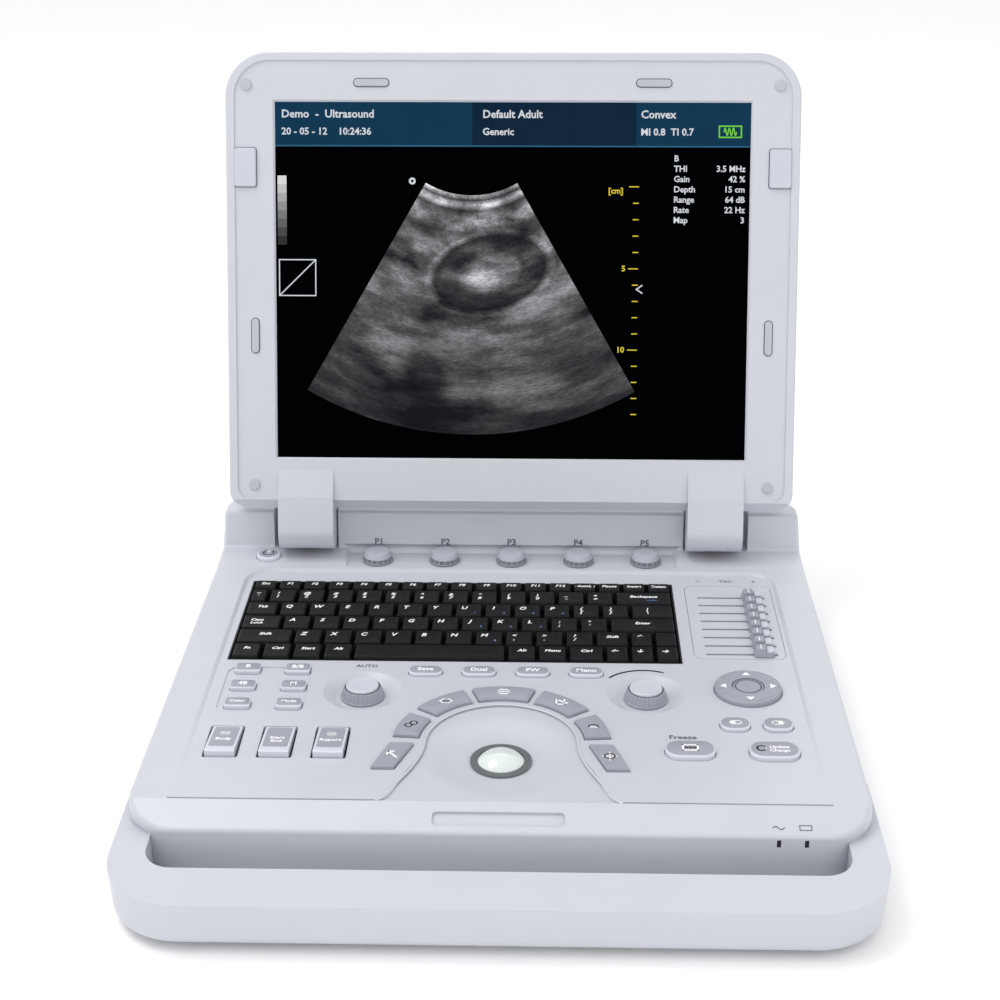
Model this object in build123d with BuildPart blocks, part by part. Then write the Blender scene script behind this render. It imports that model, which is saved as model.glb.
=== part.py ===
from build123d import *
import os
from math import cos, radians, sin

os.makedirs("parts", exist_ok=True)

# ---------------------------------------------------------------------------
# Driving dimensions, in millimetres.
# Deck coordinates: x from the centre line, y from the rear edge of the control
# panel (forwards is negative), z from the level of the key tops.
# Lid coordinates: x from the centre line, v up the lid from the bottom edge of
# the screen, and w out of the bezel towards the user.
# ---------------------------------------------------------------------------
KEY_TOP_Z = 47.0  # height of the key tops above the table
PANEL_REAR_Y = 108.5  # rear edge of the control panel in the part's frame

SEAM_Z = -12.0  # joint between the top and bottom casings
BASE_Z = -44.0  # underside of the bottom casing
FOOT_H = 3.0
HALF_W = 193.0  # half width of the casing at the seam
FRONT_Y, REAR_Y = -288.0, 57.0
FRONT_R, REAR_R = 26.0, 16.0
WALL = 3.0

HANDLE_HALF_W, HANDLE_FRONT_Y, HANDLE_REAR_Y = 197.0, -341.0, -236.0
HANDLE_R = 38.0
GRIP_HALF_W, GRIP_FRONT_Y, GRIP_REAR_Y, GRIP_R = 178.0, -311.5, -279.0, 15.0

CREASE_Y = -271.0  # front edge of the deck, where the lip turns down
HUMP_Y, HUMP_Z = 31.0, 27.0  # front top edge of the rear hump
SHELF_Y, SHELF_Z = 28.0, 2.2  # foot of the hump
KNOB_SHELF_Z = -1.2

PANEL_HALF_W, PANEL_FRONT_Y = 170.5, CREASE_Y
PANEL_Z, PANEL_T = -2.0, 3.0  # top and thickness of the control panel
KEY_GAP = 0.4  # clearance between a key and its opening
KEY_FOOT_Z = -6.5  # underside of every panel key

TILT = 17.07  # the open lid leans back from vertical
SCREEN_Y, SCREEN_Z = 27.4, 66.9  # bottom edge of the screen
SCREEN_W, SCREEN_H = 304.1, 228.1
LID_HALF_W, LID_BOTTOM, LID_TOP = 183.5, -33.7, 259.0
LID_RIM, LID_BACK = 1.0, -22.0
BEZEL_HALF_W, BEZEL_BOTTOM, BEZEL_TOP = 178.0, -27.8, 254.0
BEZEL_T = 2.5

HINGE_Y, HINGE_Z = 22.0, 18.0
BARREL_R, PIN_R = 12.5, 3.0
TONGUE_IN, TONGUE_OUT = 115.5, 151.5
POCKET_IN, POCKET_OUT, POCKET_REAR_Y = 114.3, 157.0, 44.0
LUG_T = 10.0  # thickness of a hinge lug across the slot in its tongue

DECK = Plane(origin=(0, PANEL_REAR_Y, KEY_TOP_Z))
SIDE = Plane(origin=DECK.origin, x_dir=(0, 1, 0), z_dir=(1, 0, 0))
UP_LID = Vector(0, sin(radians(TILT)), cos(radians(TILT)))
OUT_OF_LID = Vector(0, -cos(radians(TILT)), sin(radians(TILT)))
SCREEN_FOOT = DECK.origin + Vector(0, SCREEN_Y, SCREEN_Z)
LID = Plane(origin=SCREEN_FOOT, x_dir=(1, 0, 0), z_dir=OUT_OF_LID)
LID_SIDE = Plane(origin=SCREEN_FOOT, x_dir=UP_LID, z_dir=(1, 0, 0))
BACK = Plane(origin=DECK.origin + Vector(0, REAR_Y, 0), x_dir=(-1, 0, 0), z_dir=(0, 1, 0))

hinge_arm = Vector(0, HINGE_Y - SCREEN_Y, HINGE_Z - SCREEN_Z)
HINGE_V, HINGE_W = hinge_arm.dot(UP_LID), hinge_arm.dot(OUT_OF_LID)


def save(piece, name):
    """Label a finished piece and write it as its own STEP file."""
    piece.part.label = name
    export_step(piece.part, f"parts/{name}.step")


def slab(half_w, front, rear, front_r, rear_r):
    """Rectangle with its own corner radii at the front and at the rear, in the open sketch."""
    with BuildLine() as outline:
        FilletPolyline(
            (-half_w, front),
            (half_w, front),
            (half_w, rear),
            (-half_w, rear),
            radius=[front_r, front_r, rear_r, rear_r],
            close=True,
        )
    make_face(outline.edges())


# ---------------------------------------------------------------------------
# Layout of the controls on the deck
# ---------------------------------------------------------------------------
ENCODER_X, ENCODER_Y, WELL_R = 81.0, -157.0, 22.5
BALL_Y, BALL_R, BALL_Z = -225.0, 17.0, -17.1
RING_R, RING_Z, RING_T = 16.6, -5.4, 1.3
DISH_Y, DISH_R, DISH_FLOOR_Z = -223.0, 44.0, -6.8
DISH_STEP = 1.3  # depth of the dish's rim below the panel
ARC_Y, ARC_IN, ARC_OUT = -213.0, 45.5, 59.5
ARC_KEYS = [(0, 35), (38, 31), (73, 24)]  # centre and width of each arc key, degrees

MODE_KEYS = [(x, y) for x in (-150.2, -121.0) for y in (-133.8, -153.6, -174.4)]
FUNCTION_KEYS = [(x + 0.6, -135.2) for x in (-46.8, -15.6, 15.6, 46.8)]
PADDLE_X, PADDLE_REAR_Y = (-151.2, -122.0, -92.8), -198.4
PADDLE_W, PADDLE_L = 16.2, 31.0
DPAD_X, DPAD_Y, DPAD_R, DPAD_IN_R = 139.6, -152.6, 19.2, 9.4
SET_KEYS = [(128.5, -192.6), (152.2, -192.6)]
FREEZE_POS, UPDATE_POS = (101.8, -220.8), (147.0, -220.8)
TGC_X0, TGC_X1, TGC_Y0, TGC_Y1 = 112.2, 166.4, -115.0, -17.5
TGC_SLOT_X0, TGC_SLOT_X1 = 119.0, 162.0
TGC_FIRST_Y, TGC_PITCH, TGC_COUNT, TGC_X = -34.2, -10.73, 8, 153.6
KNOB_PITCH, KNOB_X, KNOB_Y = 44.1, 0.9, 15.6
POWER_X, POWER_Y, POWER_R = -159.5, 16.0, 8.1

KEY_U = 18.25  # keyboard pitch
KEYS_LEFT, KEYS_REAR = -163.8, -16.4
ROW_UNITS = [
    [14.65 / 17] * 17,
    [0.65] + [1] * 12 + [2],
    [1.15] + [1] * 12 + [1.5],
    [1.4] + [1] * 11 + [2.25],
    [1.9] + [1] * 10 + [1.15, 0.8, 0.8],
    [1, 1, 1, 1, 5, 1, 1, 1.2] + [2.45 / 3] * 3,
]
SHORT_ROW = 13.0  # depth of the function row
KEYS_W = 14.65 * KEY_U
KEYS_D = SHORT_ROW + 5 * KEY_U
TRAY_X = KEYS_LEFT + KEYS_W / 2
TRAY_Y = KEYS_REAR - KEYS_D / 2
TRAY_Z = -9.5  # floor of the keyboard tray
TRAY_WALL = 1.0


def dish_outline(inset):
    """Outline of the sunken area round the trackball, with its foot flaring out at the front."""
    r = ARC_IN - 3.5 - inset
    foot_x, foot_y = 64.0 - inset, CREASE_Y
    with BuildLine() as outline:
        top = ThreePointArc((-r, ARC_Y), (0, ARC_Y + r), (r, ARC_Y))
        right = Spline(
            (r, ARC_Y), (r + 11, ARC_Y - 38), (foot_x, foot_y), tangents=((0, -1), (1, -0.35))
        )
        Line(right @ 1, (-foot_x, foot_y))
        Spline(
            (-foot_x, foot_y), (-r - 11, ARC_Y - 38), (-r, ARC_Y), tangents=((1, 0.35), (0, 1))
        )
    make_face(outline.edges())


def arc_key_outlines(grow):
    """The seven keys round the trackball, grown by the clearance of their openings."""
    for centre, width in ARC_KEYS:
        for side in (1, -1) if centre else (1,):
            mid = 90 - side * centre
            inner, outer = ARC_IN - grow, ARC_OUT + grow
            lean = width / 2 + grow * 1.1
            with BuildLine() as outline:
                low = CenterArc((0, ARC_Y), inner, mid - lean, 2 * lean)
                high = CenterArc((0, ARC_Y), outer, mid - lean, 2 * lean)
                Line(low @ 0, high @ 0)
                Line(low @ 1, high @ 1)
            make_face(outline.edges())
    for side in (1, -1):
        with BuildLine() as outline:
            Polyline(
                (side * (47.6 - grow), -216.3 + grow),
                (side * (60.6 + grow), -216.3 + grow),
                (side * (68.6 + grow), -241.0 - grow),
                (side * (56.6 - grow), -241.0 - grow),
                close=True,
            )
        make_face(outline.edges())


def oval_outline(points, width, depth, radius, grow):
    with Locations(*points):
        RectangleRounded(width + 2 * grow, depth + 2 * grow, radius + grow * 0.9)


# ---------------------------------------------------------------------------
# Base casings and carrying handle
# ---------------------------------------------------------------------------
LOWER_H = SEAM_Z - BASE_Z
with BuildPart() as casing_block:
    with BuildSketch(DECK.offset(BASE_Z)):
        slab(HALF_W - 1.7, FRONT_Y + 1.7, REAR_Y - 1.7, FRONT_R, REAR_R)
    extrude(amount=LOWER_H, taper=-3)
    fillet(casing_block.edges().group_by(Axis.Z)[0], 5)

IO_X, IO_Z, IO_W, IO_H = 62.0, -28.0, 112.0, 22.0
SOCKET_X, SOCKET_W, SOCKET_H = (-120.0, -42.0), 66.0, 22.0
DC_X, DC_W = 150.0, 26.0
BAY_X, BAY_Y, BAY_W, BAY_D = 60.0, -60.0, 176.0, 92.0
SCREWS = [(x, y) for x in (-175, 175) for y in (-255, -110, 35)]
FEET = [(x, y) for x in (-160, 160) for y in (-262, 30)]
FAN_X, FAN_Y, FAN_W = -150.0, 5.0, 40.0
BOARD_POSTS = [(x, y) for x in (-110, 110) for y in (-190, 3)]
BOARD_Z = -22.0  # underside of the main board
LAMPS_X, LAMP_W, LAMP_H = (142.3, 156.4), 2.2, 4.4  # status lights in the front wall

with BuildPart() as bottom_casing:
    add(casing_block.part)
    with BuildSketch(DECK.offset(BASE_Z + WALL)):
        slab(HALF_W - 5.5, FRONT_Y + 5.5, REAR_Y - 5.5, FRONT_R - 4, REAR_R - 4)
    extrude(amount=LOWER_H, mode=Mode.SUBTRACT)
    # openings of the rear wall: connector plate, two probe sockets, power inlet
    with BuildSketch(BACK):
        with Locations((-IO_X, IO_Z)):
            RectangleRounded(IO_W, IO_H, 3)
        with Locations(*[(-x, IO_Z) for x in SOCKET_X]):
            RectangleRounded(SOCKET_W, SOCKET_H, 4)
        with Locations((-DC_X, IO_Z)):
            RectangleRounded(DC_W, IO_H, 3)
    extrude(amount=-12, mode=Mode.SUBTRACT)
    # battery bay, screw holes, and air slots in the floor under the fan
    with BuildSketch(DECK.offset(BASE_Z)):
        with Locations((BAY_X, BAY_Y)):
            RectangleRounded(BAY_W, BAY_D, 6)
        with Locations(*SCREWS):
            Circle(1.6)
        with Locations((FAN_X, FAN_Y)):
            with GridLocations(6, 1, 7, 1):
                SlotOverall(30, 2.4, rotation=90)
    extrude(amount=WALL + 1, mode=Mode.SUBTRACT)
    # posts of the main board
    with BuildSketch(DECK.offset(BASE_Z + WALL - 0.5)):
        with Locations(*BOARD_POSTS):
            Circle(4)
    extrude(amount=BOARD_Z - BASE_Z - WALL + 0.5)
    # windows of the status lights
    with BuildSketch(DECK.offset(SEAM_Z)):
        with Locations(*[(x, FRONT_Y) for x in LAMPS_X]):
            Rectangle(LAMP_W, 16)
    extrude(amount=-LAMP_H, mode=Mode.SUBTRACT)
    # exhaust slots in both side walls
    for end in (-1, 1):
        with BuildSketch(SIDE.offset(end * HALF_W)):
            with Locations((5, IO_Z)):
                with GridLocations(6, 1, 9, 1):
                    SlotOverall(16, 2.4, rotation=90)
        extrude(amount=-end * 9, mode=Mode.SUBTRACT)
save(bottom_casing, "bottom_casing")

with BuildPart() as carry_handle:
    with BuildSketch(DECK.offset(BASE_Z)):
        with BuildLine():
            FilletPolyline(
                (-HALF_W - 0.4, HANDLE_REAR_Y),
                (-HANDLE_HALF_W + 2, HANDLE_FRONT_Y + 2),
                (HANDLE_HALF_W - 2, HANDLE_FRONT_Y + 2),
                (HALF_W + 0.4, HANDLE_REAR_Y),
                radius=HANDLE_R,
            )
            Line((HALF_W + 0.4, HANDLE_REAR_Y), (-HALF_W - 0.4, HANDLE_REAR_Y))
        make_face()
    extrude(amount=LOWER_H, taper=-3.5)
    # the top of the grip falls gently towards the front
    with BuildSketch(SIDE):
        with BuildLine():
            Polyline((-350, -50), (-350, -19), (-200, -9.6), (-200, -50), close=True)
        make_face()
    extrude(amount=210, both=True, mode=Mode.INTERSECT)
    fillet(carry_handle.edges().group_by(Axis.Z)[0].filter_by(lambda e: e.center().Y < DECK.origin.Y - 240), 7)
    with BuildSketch(DECK.offset(BASE_Z)):
        slab(GRIP_HALF_W, GRIP_FRONT_Y, GRIP_REAR_Y, GRIP_R, 1)
    extrude(amount=LOWER_H + 5, mode=Mode.SUBTRACT)
    add(casing_block.part, mode=Mode.SUBTRACT)
    with BuildSketch(DECK.offset(BASE_Z)):
        slab(HALF_W - 1.7, FRONT_Y + 1.7, REAR_Y, FRONT_R, REAR_R)
    extrude(amount=LOWER_H, mode=Mode.SUBTRACT)
save(carry_handle, "carry_handle")

DECK_EDGE_Z = -2.0  # the border falls from the key-top level to this at the front
LIP_RUN, LIP_RISE = CREASE_Y - FRONT_Y + 1, DECK_EDGE_Z - (SEAM_Z + 1.5)
LIP = Plane(
    origin=DECK.origin + Vector(0, CREASE_Y, DECK_EDGE_Z),
    x_dir=(1, 0, 0),
    z_dir=(0, -LIP_RISE, LIP_RUN),
)
NOTCH_AT = -10.3  # centre of the finger notch, down the slope of the lip
with BuildPart() as top_casing:
    with BuildSketch(DECK.offset(SEAM_Z)):
        slab(HALF_W, FRONT_Y, REAR_Y, FRONT_R, REAR_R)
    extrude(amount=HUMP_Z - SEAM_Z + 1, taper=5)
    with BuildSketch(SIDE):
        with BuildLine():
            FilletPolyline(
                (FRONT_Y - 1, SEAM_Z),
                (FRONT_Y - 1, SEAM_Z + 1.5),
                (CREASE_Y, DECK_EDGE_Z),
                (2, 0),
                (SHELF_Y, SHELF_Z),
                (HUMP_Y, HUMP_Z),
                (50, HUMP_Z),
                (REAR_Y - 1, HUMP_Z - 9),
                (REAR_Y + 2, SEAM_Z),
                radius=[1.8, 2.0, 3.0, 2.0, 3.0, 6.0, 8.0],
            )
            Line((REAR_Y + 2, SEAM_Z), (FRONT_Y - 1, SEAM_Z))
        make_face()
    extrude(amount=HALF_W + 5, both=True, mode=Mode.INTERSECT)
    # rounded top edges along the deck's sides and over the hump's ends
    fillet(
        top_casing.edges().filter_by(
            lambda e: abs(e.center().X) > HALF_W - 3.6
            and e.center().Z > KEY_TOP_Z - 6
            and e.center().Y < REAR_Y + PANEL_REAR_Y - 6
        ),
        2.5,
    )
    # hollow underside: one cavity under the deck, one in the hump between the hinge pockets
    with BuildSketch(DECK.offset(SEAM_Z)):
        slab(HALF_W - 4.5, CREASE_Y + 8, REAR_Y - 4, FRONT_R - 4, REAR_R - 4)
    extrude(amount=4, mode=Mode.SUBTRACT)
    for x0, x1 in ((-111, 111), (-185, -160), (160, 185)):
        with BuildSketch(SIDE.offset(x0)):
            with BuildLine():
                Polyline((34, -9), (34.5, 23.5), (48.5, 23.5), (52.5, 17), (53, -9), close=True)
            make_face()
        extrude(amount=x1 - x0, mode=Mode.SUBTRACT)
    # opening for the control panel, with a ledge under its edge
    with BuildSketch(DECK.offset(PANEL_Z - PANEL_T)):
        slab(PANEL_HALF_W, PANEL_FRONT_Y, 0, 4, 18)
    extrude(amount=PANEL_T + 4, mode=Mode.SUBTRACT)
    with BuildSketch(DECK.offset(SEAM_Z)):
        slab(PANEL_HALF_W - 3.5, PANEL_FRONT_Y + 6, -6, 6, 10)
    extrude(amount=10, mode=Mode.SUBTRACT)
    # shallow shelf for the row of knobs, and their shaft holes
    with BuildSketch(DECK.offset(KNOB_SHELF_Z)):
        with Locations((KNOB_X, 15.5)):
            RectangleRounded(214, 24, 3)
    extrude(amount=6, mode=Mode.SUBTRACT, taper=-45)
    with BuildSketch(DECK.offset(SEAM_Z)):
        with Locations(*[(KNOB_X + i * KNOB_PITCH, KNOB_Y) for i in range(-2, 3)]):
            Circle(3.05)
        with Locations((POWER_X, POWER_Y)):
            Circle(POWER_R + 0.4)
    extrude(amount=20, mode=Mode.SUBTRACT)
    # hinge pockets
    with BuildSketch(DECK.offset(SHELF_Z)):
        for side in (1, -1):
            with Locations((side * (POCKET_IN + POCKET_OUT) / 2, (SHELF_Y - 4 + POCKET_REAR_Y) / 2)):
                Rectangle(POCKET_OUT - POCKET_IN, POCKET_REAR_Y - SHELF_Y + 4)
    extrude(amount=HUMP_Z, mode=Mode.SUBTRACT)
    # finger notch in the front lip, square to its slope
    with BuildSketch(LIP):
        with Locations((0, NOTCH_AT)):
            RectangleRounded(68, 8.4, 2.6)
    extrude(amount=-1.6, mode=Mode.SUBTRACT)
save(top_casing, "top_casing")

# ---------------------------------------------------------------------------
# Control panel
# ---------------------------------------------------------------------------
with BuildPart() as control_panel:
    with BuildSketch(DECK.offset(PANEL_Z - PANEL_T)):
        slab(PANEL_HALF_W, PANEL_FRONT_Y, 0, 4, 18)
    extrude(amount=PANEL_T)
    # cups under the trackball dish and the encoder wells
    with BuildSketch(DECK.offset(PANEL_Z - PANEL_T)):
        with Locations((0, DISH_Y)):
            Circle(DISH_R - 3)
        with Locations((-ENCODER_X, ENCODER_Y), (ENCODER_X, ENCODER_Y)):
            Circle(WELL_R + 1.5)
    extrude(amount=-4)
    with BuildSketch(DECK.offset(PANEL_Z - DISH_STEP)):
        dish_outline(0)
    extrude(amount=2, mode=Mode.SUBTRACT)
    # dish: a shallow bowl turned about the vertical
    with BuildSketch(Plane(origin=DECK.origin + Vector(0, DISH_Y, 0), x_dir=(1, 0, 0), z_dir=(0, -1, 0))):
        with BuildLine():
            Polyline((0, 3), (0, DISH_FLOOR_Z), (15, DISH_FLOOR_Z))
            Spline(
                (15, DISH_FLOOR_Z), (30, -5.3), (DISH_R - 1.5, PANEL_Z - DISH_STEP),
                tangents=((1, 0), (1, 0)),
            )
            Polyline((DISH_R - 1.5, PANEL_Z - DISH_STEP), (DISH_R - 1.5, 3), (0, 3))
        make_face()
    revolve(axis=Axis(DECK.origin + Vector(0, DISH_Y, 0), (0, 0, 1)), mode=Mode.SUBTRACT)
    # encoder wells: a cone down to a flat floor, with the shaft hole
    for side in (-1, 1):
        with BuildSketch(DECK.offset(PANEL_Z)):
            with Locations((side * ENCODER_X, ENCODER_Y)):
                Circle(WELL_R)
        with BuildSketch(DECK.offset(-6)):
            with Locations((side * ENCODER_X, ENCODER_Y)):
                Circle(WELL_R - 7)
        loft(mode=Mode.SUBTRACT)
    with BuildSketch(DECK.offset(PANEL_Z - 0.6)):
        with Locations((-137.4, -156.5)):
            RectangleRounded(49, 53, 7)
    extrude(amount=2, mode=Mode.SUBTRACT)
    # openings
    with BuildSketch(DECK.offset(-12)):
        with Locations((TRAY_X, TRAY_Y)):
            Rectangle(KEYS_W + 2 * TRAY_WALL, KEYS_D + 2 * TRAY_WALL)
        with Locations(((TGC_X0 + TGC_X1) / 2, (TGC_Y0 + TGC_Y1) / 2)):
            RectangleRounded(TGC_X1 - TGC_X0 + 0.6, TGC_Y1 - TGC_Y0 + 0.6, 6)
        with Locations((0, BALL_Y)):
            Circle(RING_R)
        with Locations((-ENCODER_X, ENCODER_Y), (ENCODER_X, ENCODER_Y)):
            Circle(3.05)
        oval_outline(MODE_KEYS, 14.6, 9.2, 2.2, KEY_GAP)
        oval_outline(FUNCTION_KEYS, 19.6, 9.8, 4.6, KEY_GAP)
        oval_outline(SET_KEYS, 16.4, 12.8, 5.8, KEY_GAP)
        oval_outline([FREEZE_POS, UPDATE_POS], 27.0, 16.4, 7.6, KEY_GAP)
        with Locations((DPAD_X, DPAD_Y)):
            Circle(DPAD_R + KEY_GAP)
        with Locations(*[(x, PADDLE_REAR_Y - PADDLE_L / 2 - 0.4) for x in PADDLE_X]):
            RectangleRounded(PADDLE_W + 3, PADDLE_L + 2, 1.5)
        arc_key_outlines(KEY_GAP)
    extrude(amount=14, mode=Mode.SUBTRACT)
save(control_panel, "control_panel")

with BuildPart() as trackball_ring:
    with BuildSketch(DECK.offset(RING_Z - RING_T)):
        with Locations((0, BALL_Y)):
            Circle(RING_R)
    extrude(amount=RING_T)
    with BuildSketch(DECK.offset(RING_Z - RING_T)):
        with Locations((0, BALL_Y)):
            Circle(14.0)
    with BuildSketch(DECK.offset(RING_Z)):
        with Locations((0, BALL_Y)):
            Circle(12.75)
    loft(mode=Mode.SUBTRACT)
save(trackball_ring, "trackball_ring")

with BuildPart() as trackball:
    with Locations(DECK.origin + Vector(0, BALL_Y, BALL_Z)):
        Sphere(BALL_R)
save(trackball, "trackball")

with BuildPart() as trackball_cup:
    with BuildSketch(DECK.offset(-37)):
        with Locations((0, BALL_Y)):
            Circle(20.5)
    extrude(amount=28)
    with Locations(DECK.origin + Vector(0, BALL_Y, BALL_Z)):
        Sphere(BALL_R + 0.4, mode=Mode.SUBTRACT)
save(trackball_cup, "trackball_cup")

with BuildPart() as tgc_plate:
    with BuildSketch(DECK.offset(PANEL_Z - 2)):
        with Locations(((TGC_X0 + TGC_X1) / 2, (TGC_Y0 + TGC_Y1) / 2)):
            RectangleRounded(TGC_X1 - TGC_X0, TGC_Y1 - TGC_Y0, 5.7)
        with Locations(
            *[
                ((TGC_SLOT_X0 + TGC_SLOT_X1) / 2, TGC_FIRST_Y + i * TGC_PITCH)
                for i in range(TGC_COUNT)
            ]
        ):
            SlotOverall(TGC_SLOT_X1 - TGC_SLOT_X0, 2.0, mode=Mode.SUBTRACT)
    extrude(amount=2)
save(tgc_plate, "tgc_plate")

# ---------------------------------------------------------------------------
# Keyboard
# ---------------------------------------------------------------------------
with BuildPart() as keyboard_tray:
    with BuildSketch(DECK.offset(TRAY_Z - 1)):
        with Locations((TRAY_X, TRAY_Y)):
            Rectangle(KEYS_W + 2 * TRAY_WALL, KEYS_D + 2 * TRAY_WALL)
    extrude(amount=PANEL_Z - TRAY_Z + 1)
    with BuildSketch(DECK.offset(TRAY_Z)):
        with Locations((TRAY_X, TRAY_Y)):
            Rectangle(KEYS_W, KEYS_D)
    extrude(amount=20, mode=Mode.SUBTRACT)
save(keyboard_tray, "keyboard_tray")

KEY_MARGIN = 0.5  # half the gap between the feet of neighbouring keys
row_rear = KEYS_REAR
for number, units in enumerate(ROW_UNITS):
    depth = SHORT_ROW if number == 0 else KEY_U
    with BuildPart() as key_row:
        with BuildSketch(DECK.offset(KEY_FOOT_Z)):
            left = KEYS_LEFT
            for unit in units:
                width = unit * KEY_U
                with Locations((left + width / 2, row_rear - depth / 2)):
                    RectangleRounded(width - 2 * KEY_MARGIN, depth - 2 * KEY_MARGIN, 0.8)
                left += width
        extrude(amount=-KEY_FOOT_Z, taper=6)
    save(key_row, f"key_row_{number + 1}")
    row_rear -= depth

# ---------------------------------------------------------------------------
# Panel keys
# ---------------------------------------------------------------------------
def cap_key(name, outline, top=0.0, edge=0.6):
    """A flat-topped key, or a group of them, standing through the panel."""
    with BuildPart() as keys:
        with BuildSketch(DECK.offset(KEY_FOOT_Z)):
            outline()
        extrude(amount=top - KEY_FOOT_Z)
        chamfer(keys.edges().group_by(Axis.Z)[-1], edge)
    save(keys, name)


cap_key("mode_keys", lambda: oval_outline(MODE_KEYS, 14.6, 9.2, 2.2, 0))
cap_key("function_keys", lambda: oval_outline(FUNCTION_KEYS, 19.6, 9.8, 4.6, 0))
cap_key("set_keys", lambda: oval_outline(SET_KEYS, 16.4, 12.8, 5.8, 0))
cap_key("freeze_key", lambda: oval_outline([FREEZE_POS], 27.0, 16.4, 7.6, 0), 0.6)
cap_key("update_key", lambda: oval_outline([UPDATE_POS], 27.0, 16.4, 7.6, 0), 0.6)
cap_key("arc_keys", lambda: arc_key_outlines(0), 0, 0.4)

with BuildPart() as dpad:
    with BuildSketch(DECK.offset(KEY_FOOT_Z)):
        with Locations((DPAD_X, DPAD_Y)):
            Circle(DPAD_R)
            Circle(DPAD_IN_R, mode=Mode.SUBTRACT)
    extrude(amount=1.2 - KEY_FOOT_Z)
    fillet(dpad.edges().group_by(Axis.Z)[-1].sort_by(SortBy.LENGTH)[-1], 1.6)
save(dpad, "dpad")

with BuildPart() as dpad_centre:
    with BuildSketch(DECK.offset(KEY_FOOT_Z)):
        with Locations((DPAD_X, DPAD_Y)):
            Circle(DPAD_IN_R - KEY_GAP)
    extrude(amount=0.9 - KEY_FOOT_Z)
    fillet(dpad_centre.edges().group_by(Axis.Z)[-1], 0.8)
save(dpad_centre, "dpad_centre")

PADDLE_HINGE_Z = -4.5  # the paddles rock about a line under their rear edge
with BuildPart() as paddle_keys:
    for x in PADDLE_X:
        with BuildSketch(SIDE.offset(x - PADDLE_W / 2)):
            with BuildLine():
                rear, front = PADDLE_REAR_Y - 0.4, PADDLE_REAR_Y - PADDLE_L
                Polyline(
                    (rear, PADDLE_HINGE_Z),
                    (rear, PANEL_Z + 0.2),
                    (front + 1, 1.6),
                    (front, 0.8),
                    (front - 0.4, -4.6),
                    (rear, -6.2),
                    close=True,
                )
            make_face()
        extrude(amount=PADDLE_W)
save(paddle_keys, "paddle_keys")

for index in range(TGC_COUNT):
    y = TGC_FIRST_Y + index * TGC_PITCH
    with BuildPart() as tgc_slider:
        with BuildSketch(DECK.offset(PANEL_Z + 0.3)):
            with Locations((TGC_X, y)):
                RectangleRounded(12.4, 8.4, 1.8)
        extrude(amount=5.4, taper=12)
        fillet(tgc_slider.edges().group_by(Axis.Z)[-1], 0.8)
        with BuildSketch(DECK.offset(PANEL_Z + 0.3)):
            with Locations((TGC_X, y)):
                Rectangle(3, 1.2)
        extrude(amount=-6.5)
    save(tgc_slider, f"tgc_slider_{index + 1}")

# ---------------------------------------------------------------------------
# Knobs
# ---------------------------------------------------------------------------
SHAFT_R = 3.0
for index in range(5):
    x = KNOB_X + (index - 2) * KNOB_PITCH
    with BuildPart() as knob:
        with BuildSketch(DECK.offset(KNOB_SHELF_Z + 0.3)):
            with Locations((x, KNOB_Y)):
                Circle(10.1)
        extrude(amount=1.2)
        with BuildSketch(DECK.offset(KNOB_SHELF_Z + 1.5)):
            with Locations((x, KNOB_Y)):
                Circle(9.5)
        extrude(amount=5.7, taper=13)
        fillet(knob.edges().group_by(Axis.Z)[-1], 0.8)
        # finger notches round the skirt
        with BuildSketch(DECK.offset(KNOB_SHELF_Z + 1.5)):
            with Locations((x, KNOB_Y)):
                with PolarLocations(9.7, 16):
                    Rectangle(2.0, 1.1)
        extrude(amount=3.2, mode=Mode.SUBTRACT)
        with BuildSketch(DECK.offset(KNOB_SHELF_Z + 0.3)):
            with Locations((x, KNOB_Y)):
                Circle(SHAFT_R)
        extrude(amount=-10)
    save(knob, f"knob_p{index + 1}")

for side, name in ((-1, "encoder_left"), (1, "encoder_right")):
    with BuildPart() as encoder:
        centre = (side * ENCODER_X, ENCODER_Y)
        with BuildSketch(DECK.offset(-5.7)):
            with Locations(centre):
                Circle(12.6)
        extrude(amount=1.4)
        with BuildSketch(DECK.offset(-4.3)):
            with Locations(centre):
                Circle(12.3)
        extrude(amount=6.6, taper=17)
        fillet(encoder.edges().group_by(Axis.Z)[-1], 0.7)
        with BuildSketch(DECK.offset(1.7)):
            with Locations(centre):
                Circle(8.8)
        extrude(amount=2, mode=Mode.SUBTRACT)
        with BuildSketch(DECK.offset(-4.3)):
            with Locations(centre):
                with PolarLocations(12.6, 28):
                    Circle(0.55)
        extrude(amount=6, mode=Mode.SUBTRACT, taper=0)
        with BuildSketch(DECK.offset(-5.7)):
            with Locations(centre):
                Circle(SHAFT_R)
        extrude(amount=-12)
    save(encoder, name)

with BuildPart() as power_button:
    with BuildSketch(DECK.offset(-8)):
        with Locations((POWER_X, POWER_Y)):
            Circle(POWER_R)
    extrude(amount=8 + 3.2)
    fillet(power_button.edges().group_by(Axis.Z)[-1], 1.2)
save(power_button, "power_button")

# ---------------------------------------------------------------------------
# Lid
# ---------------------------------------------------------------------------
BEZEL_R_FOOT, BEZEL_R_TOP = 9.0, 23.0


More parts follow.
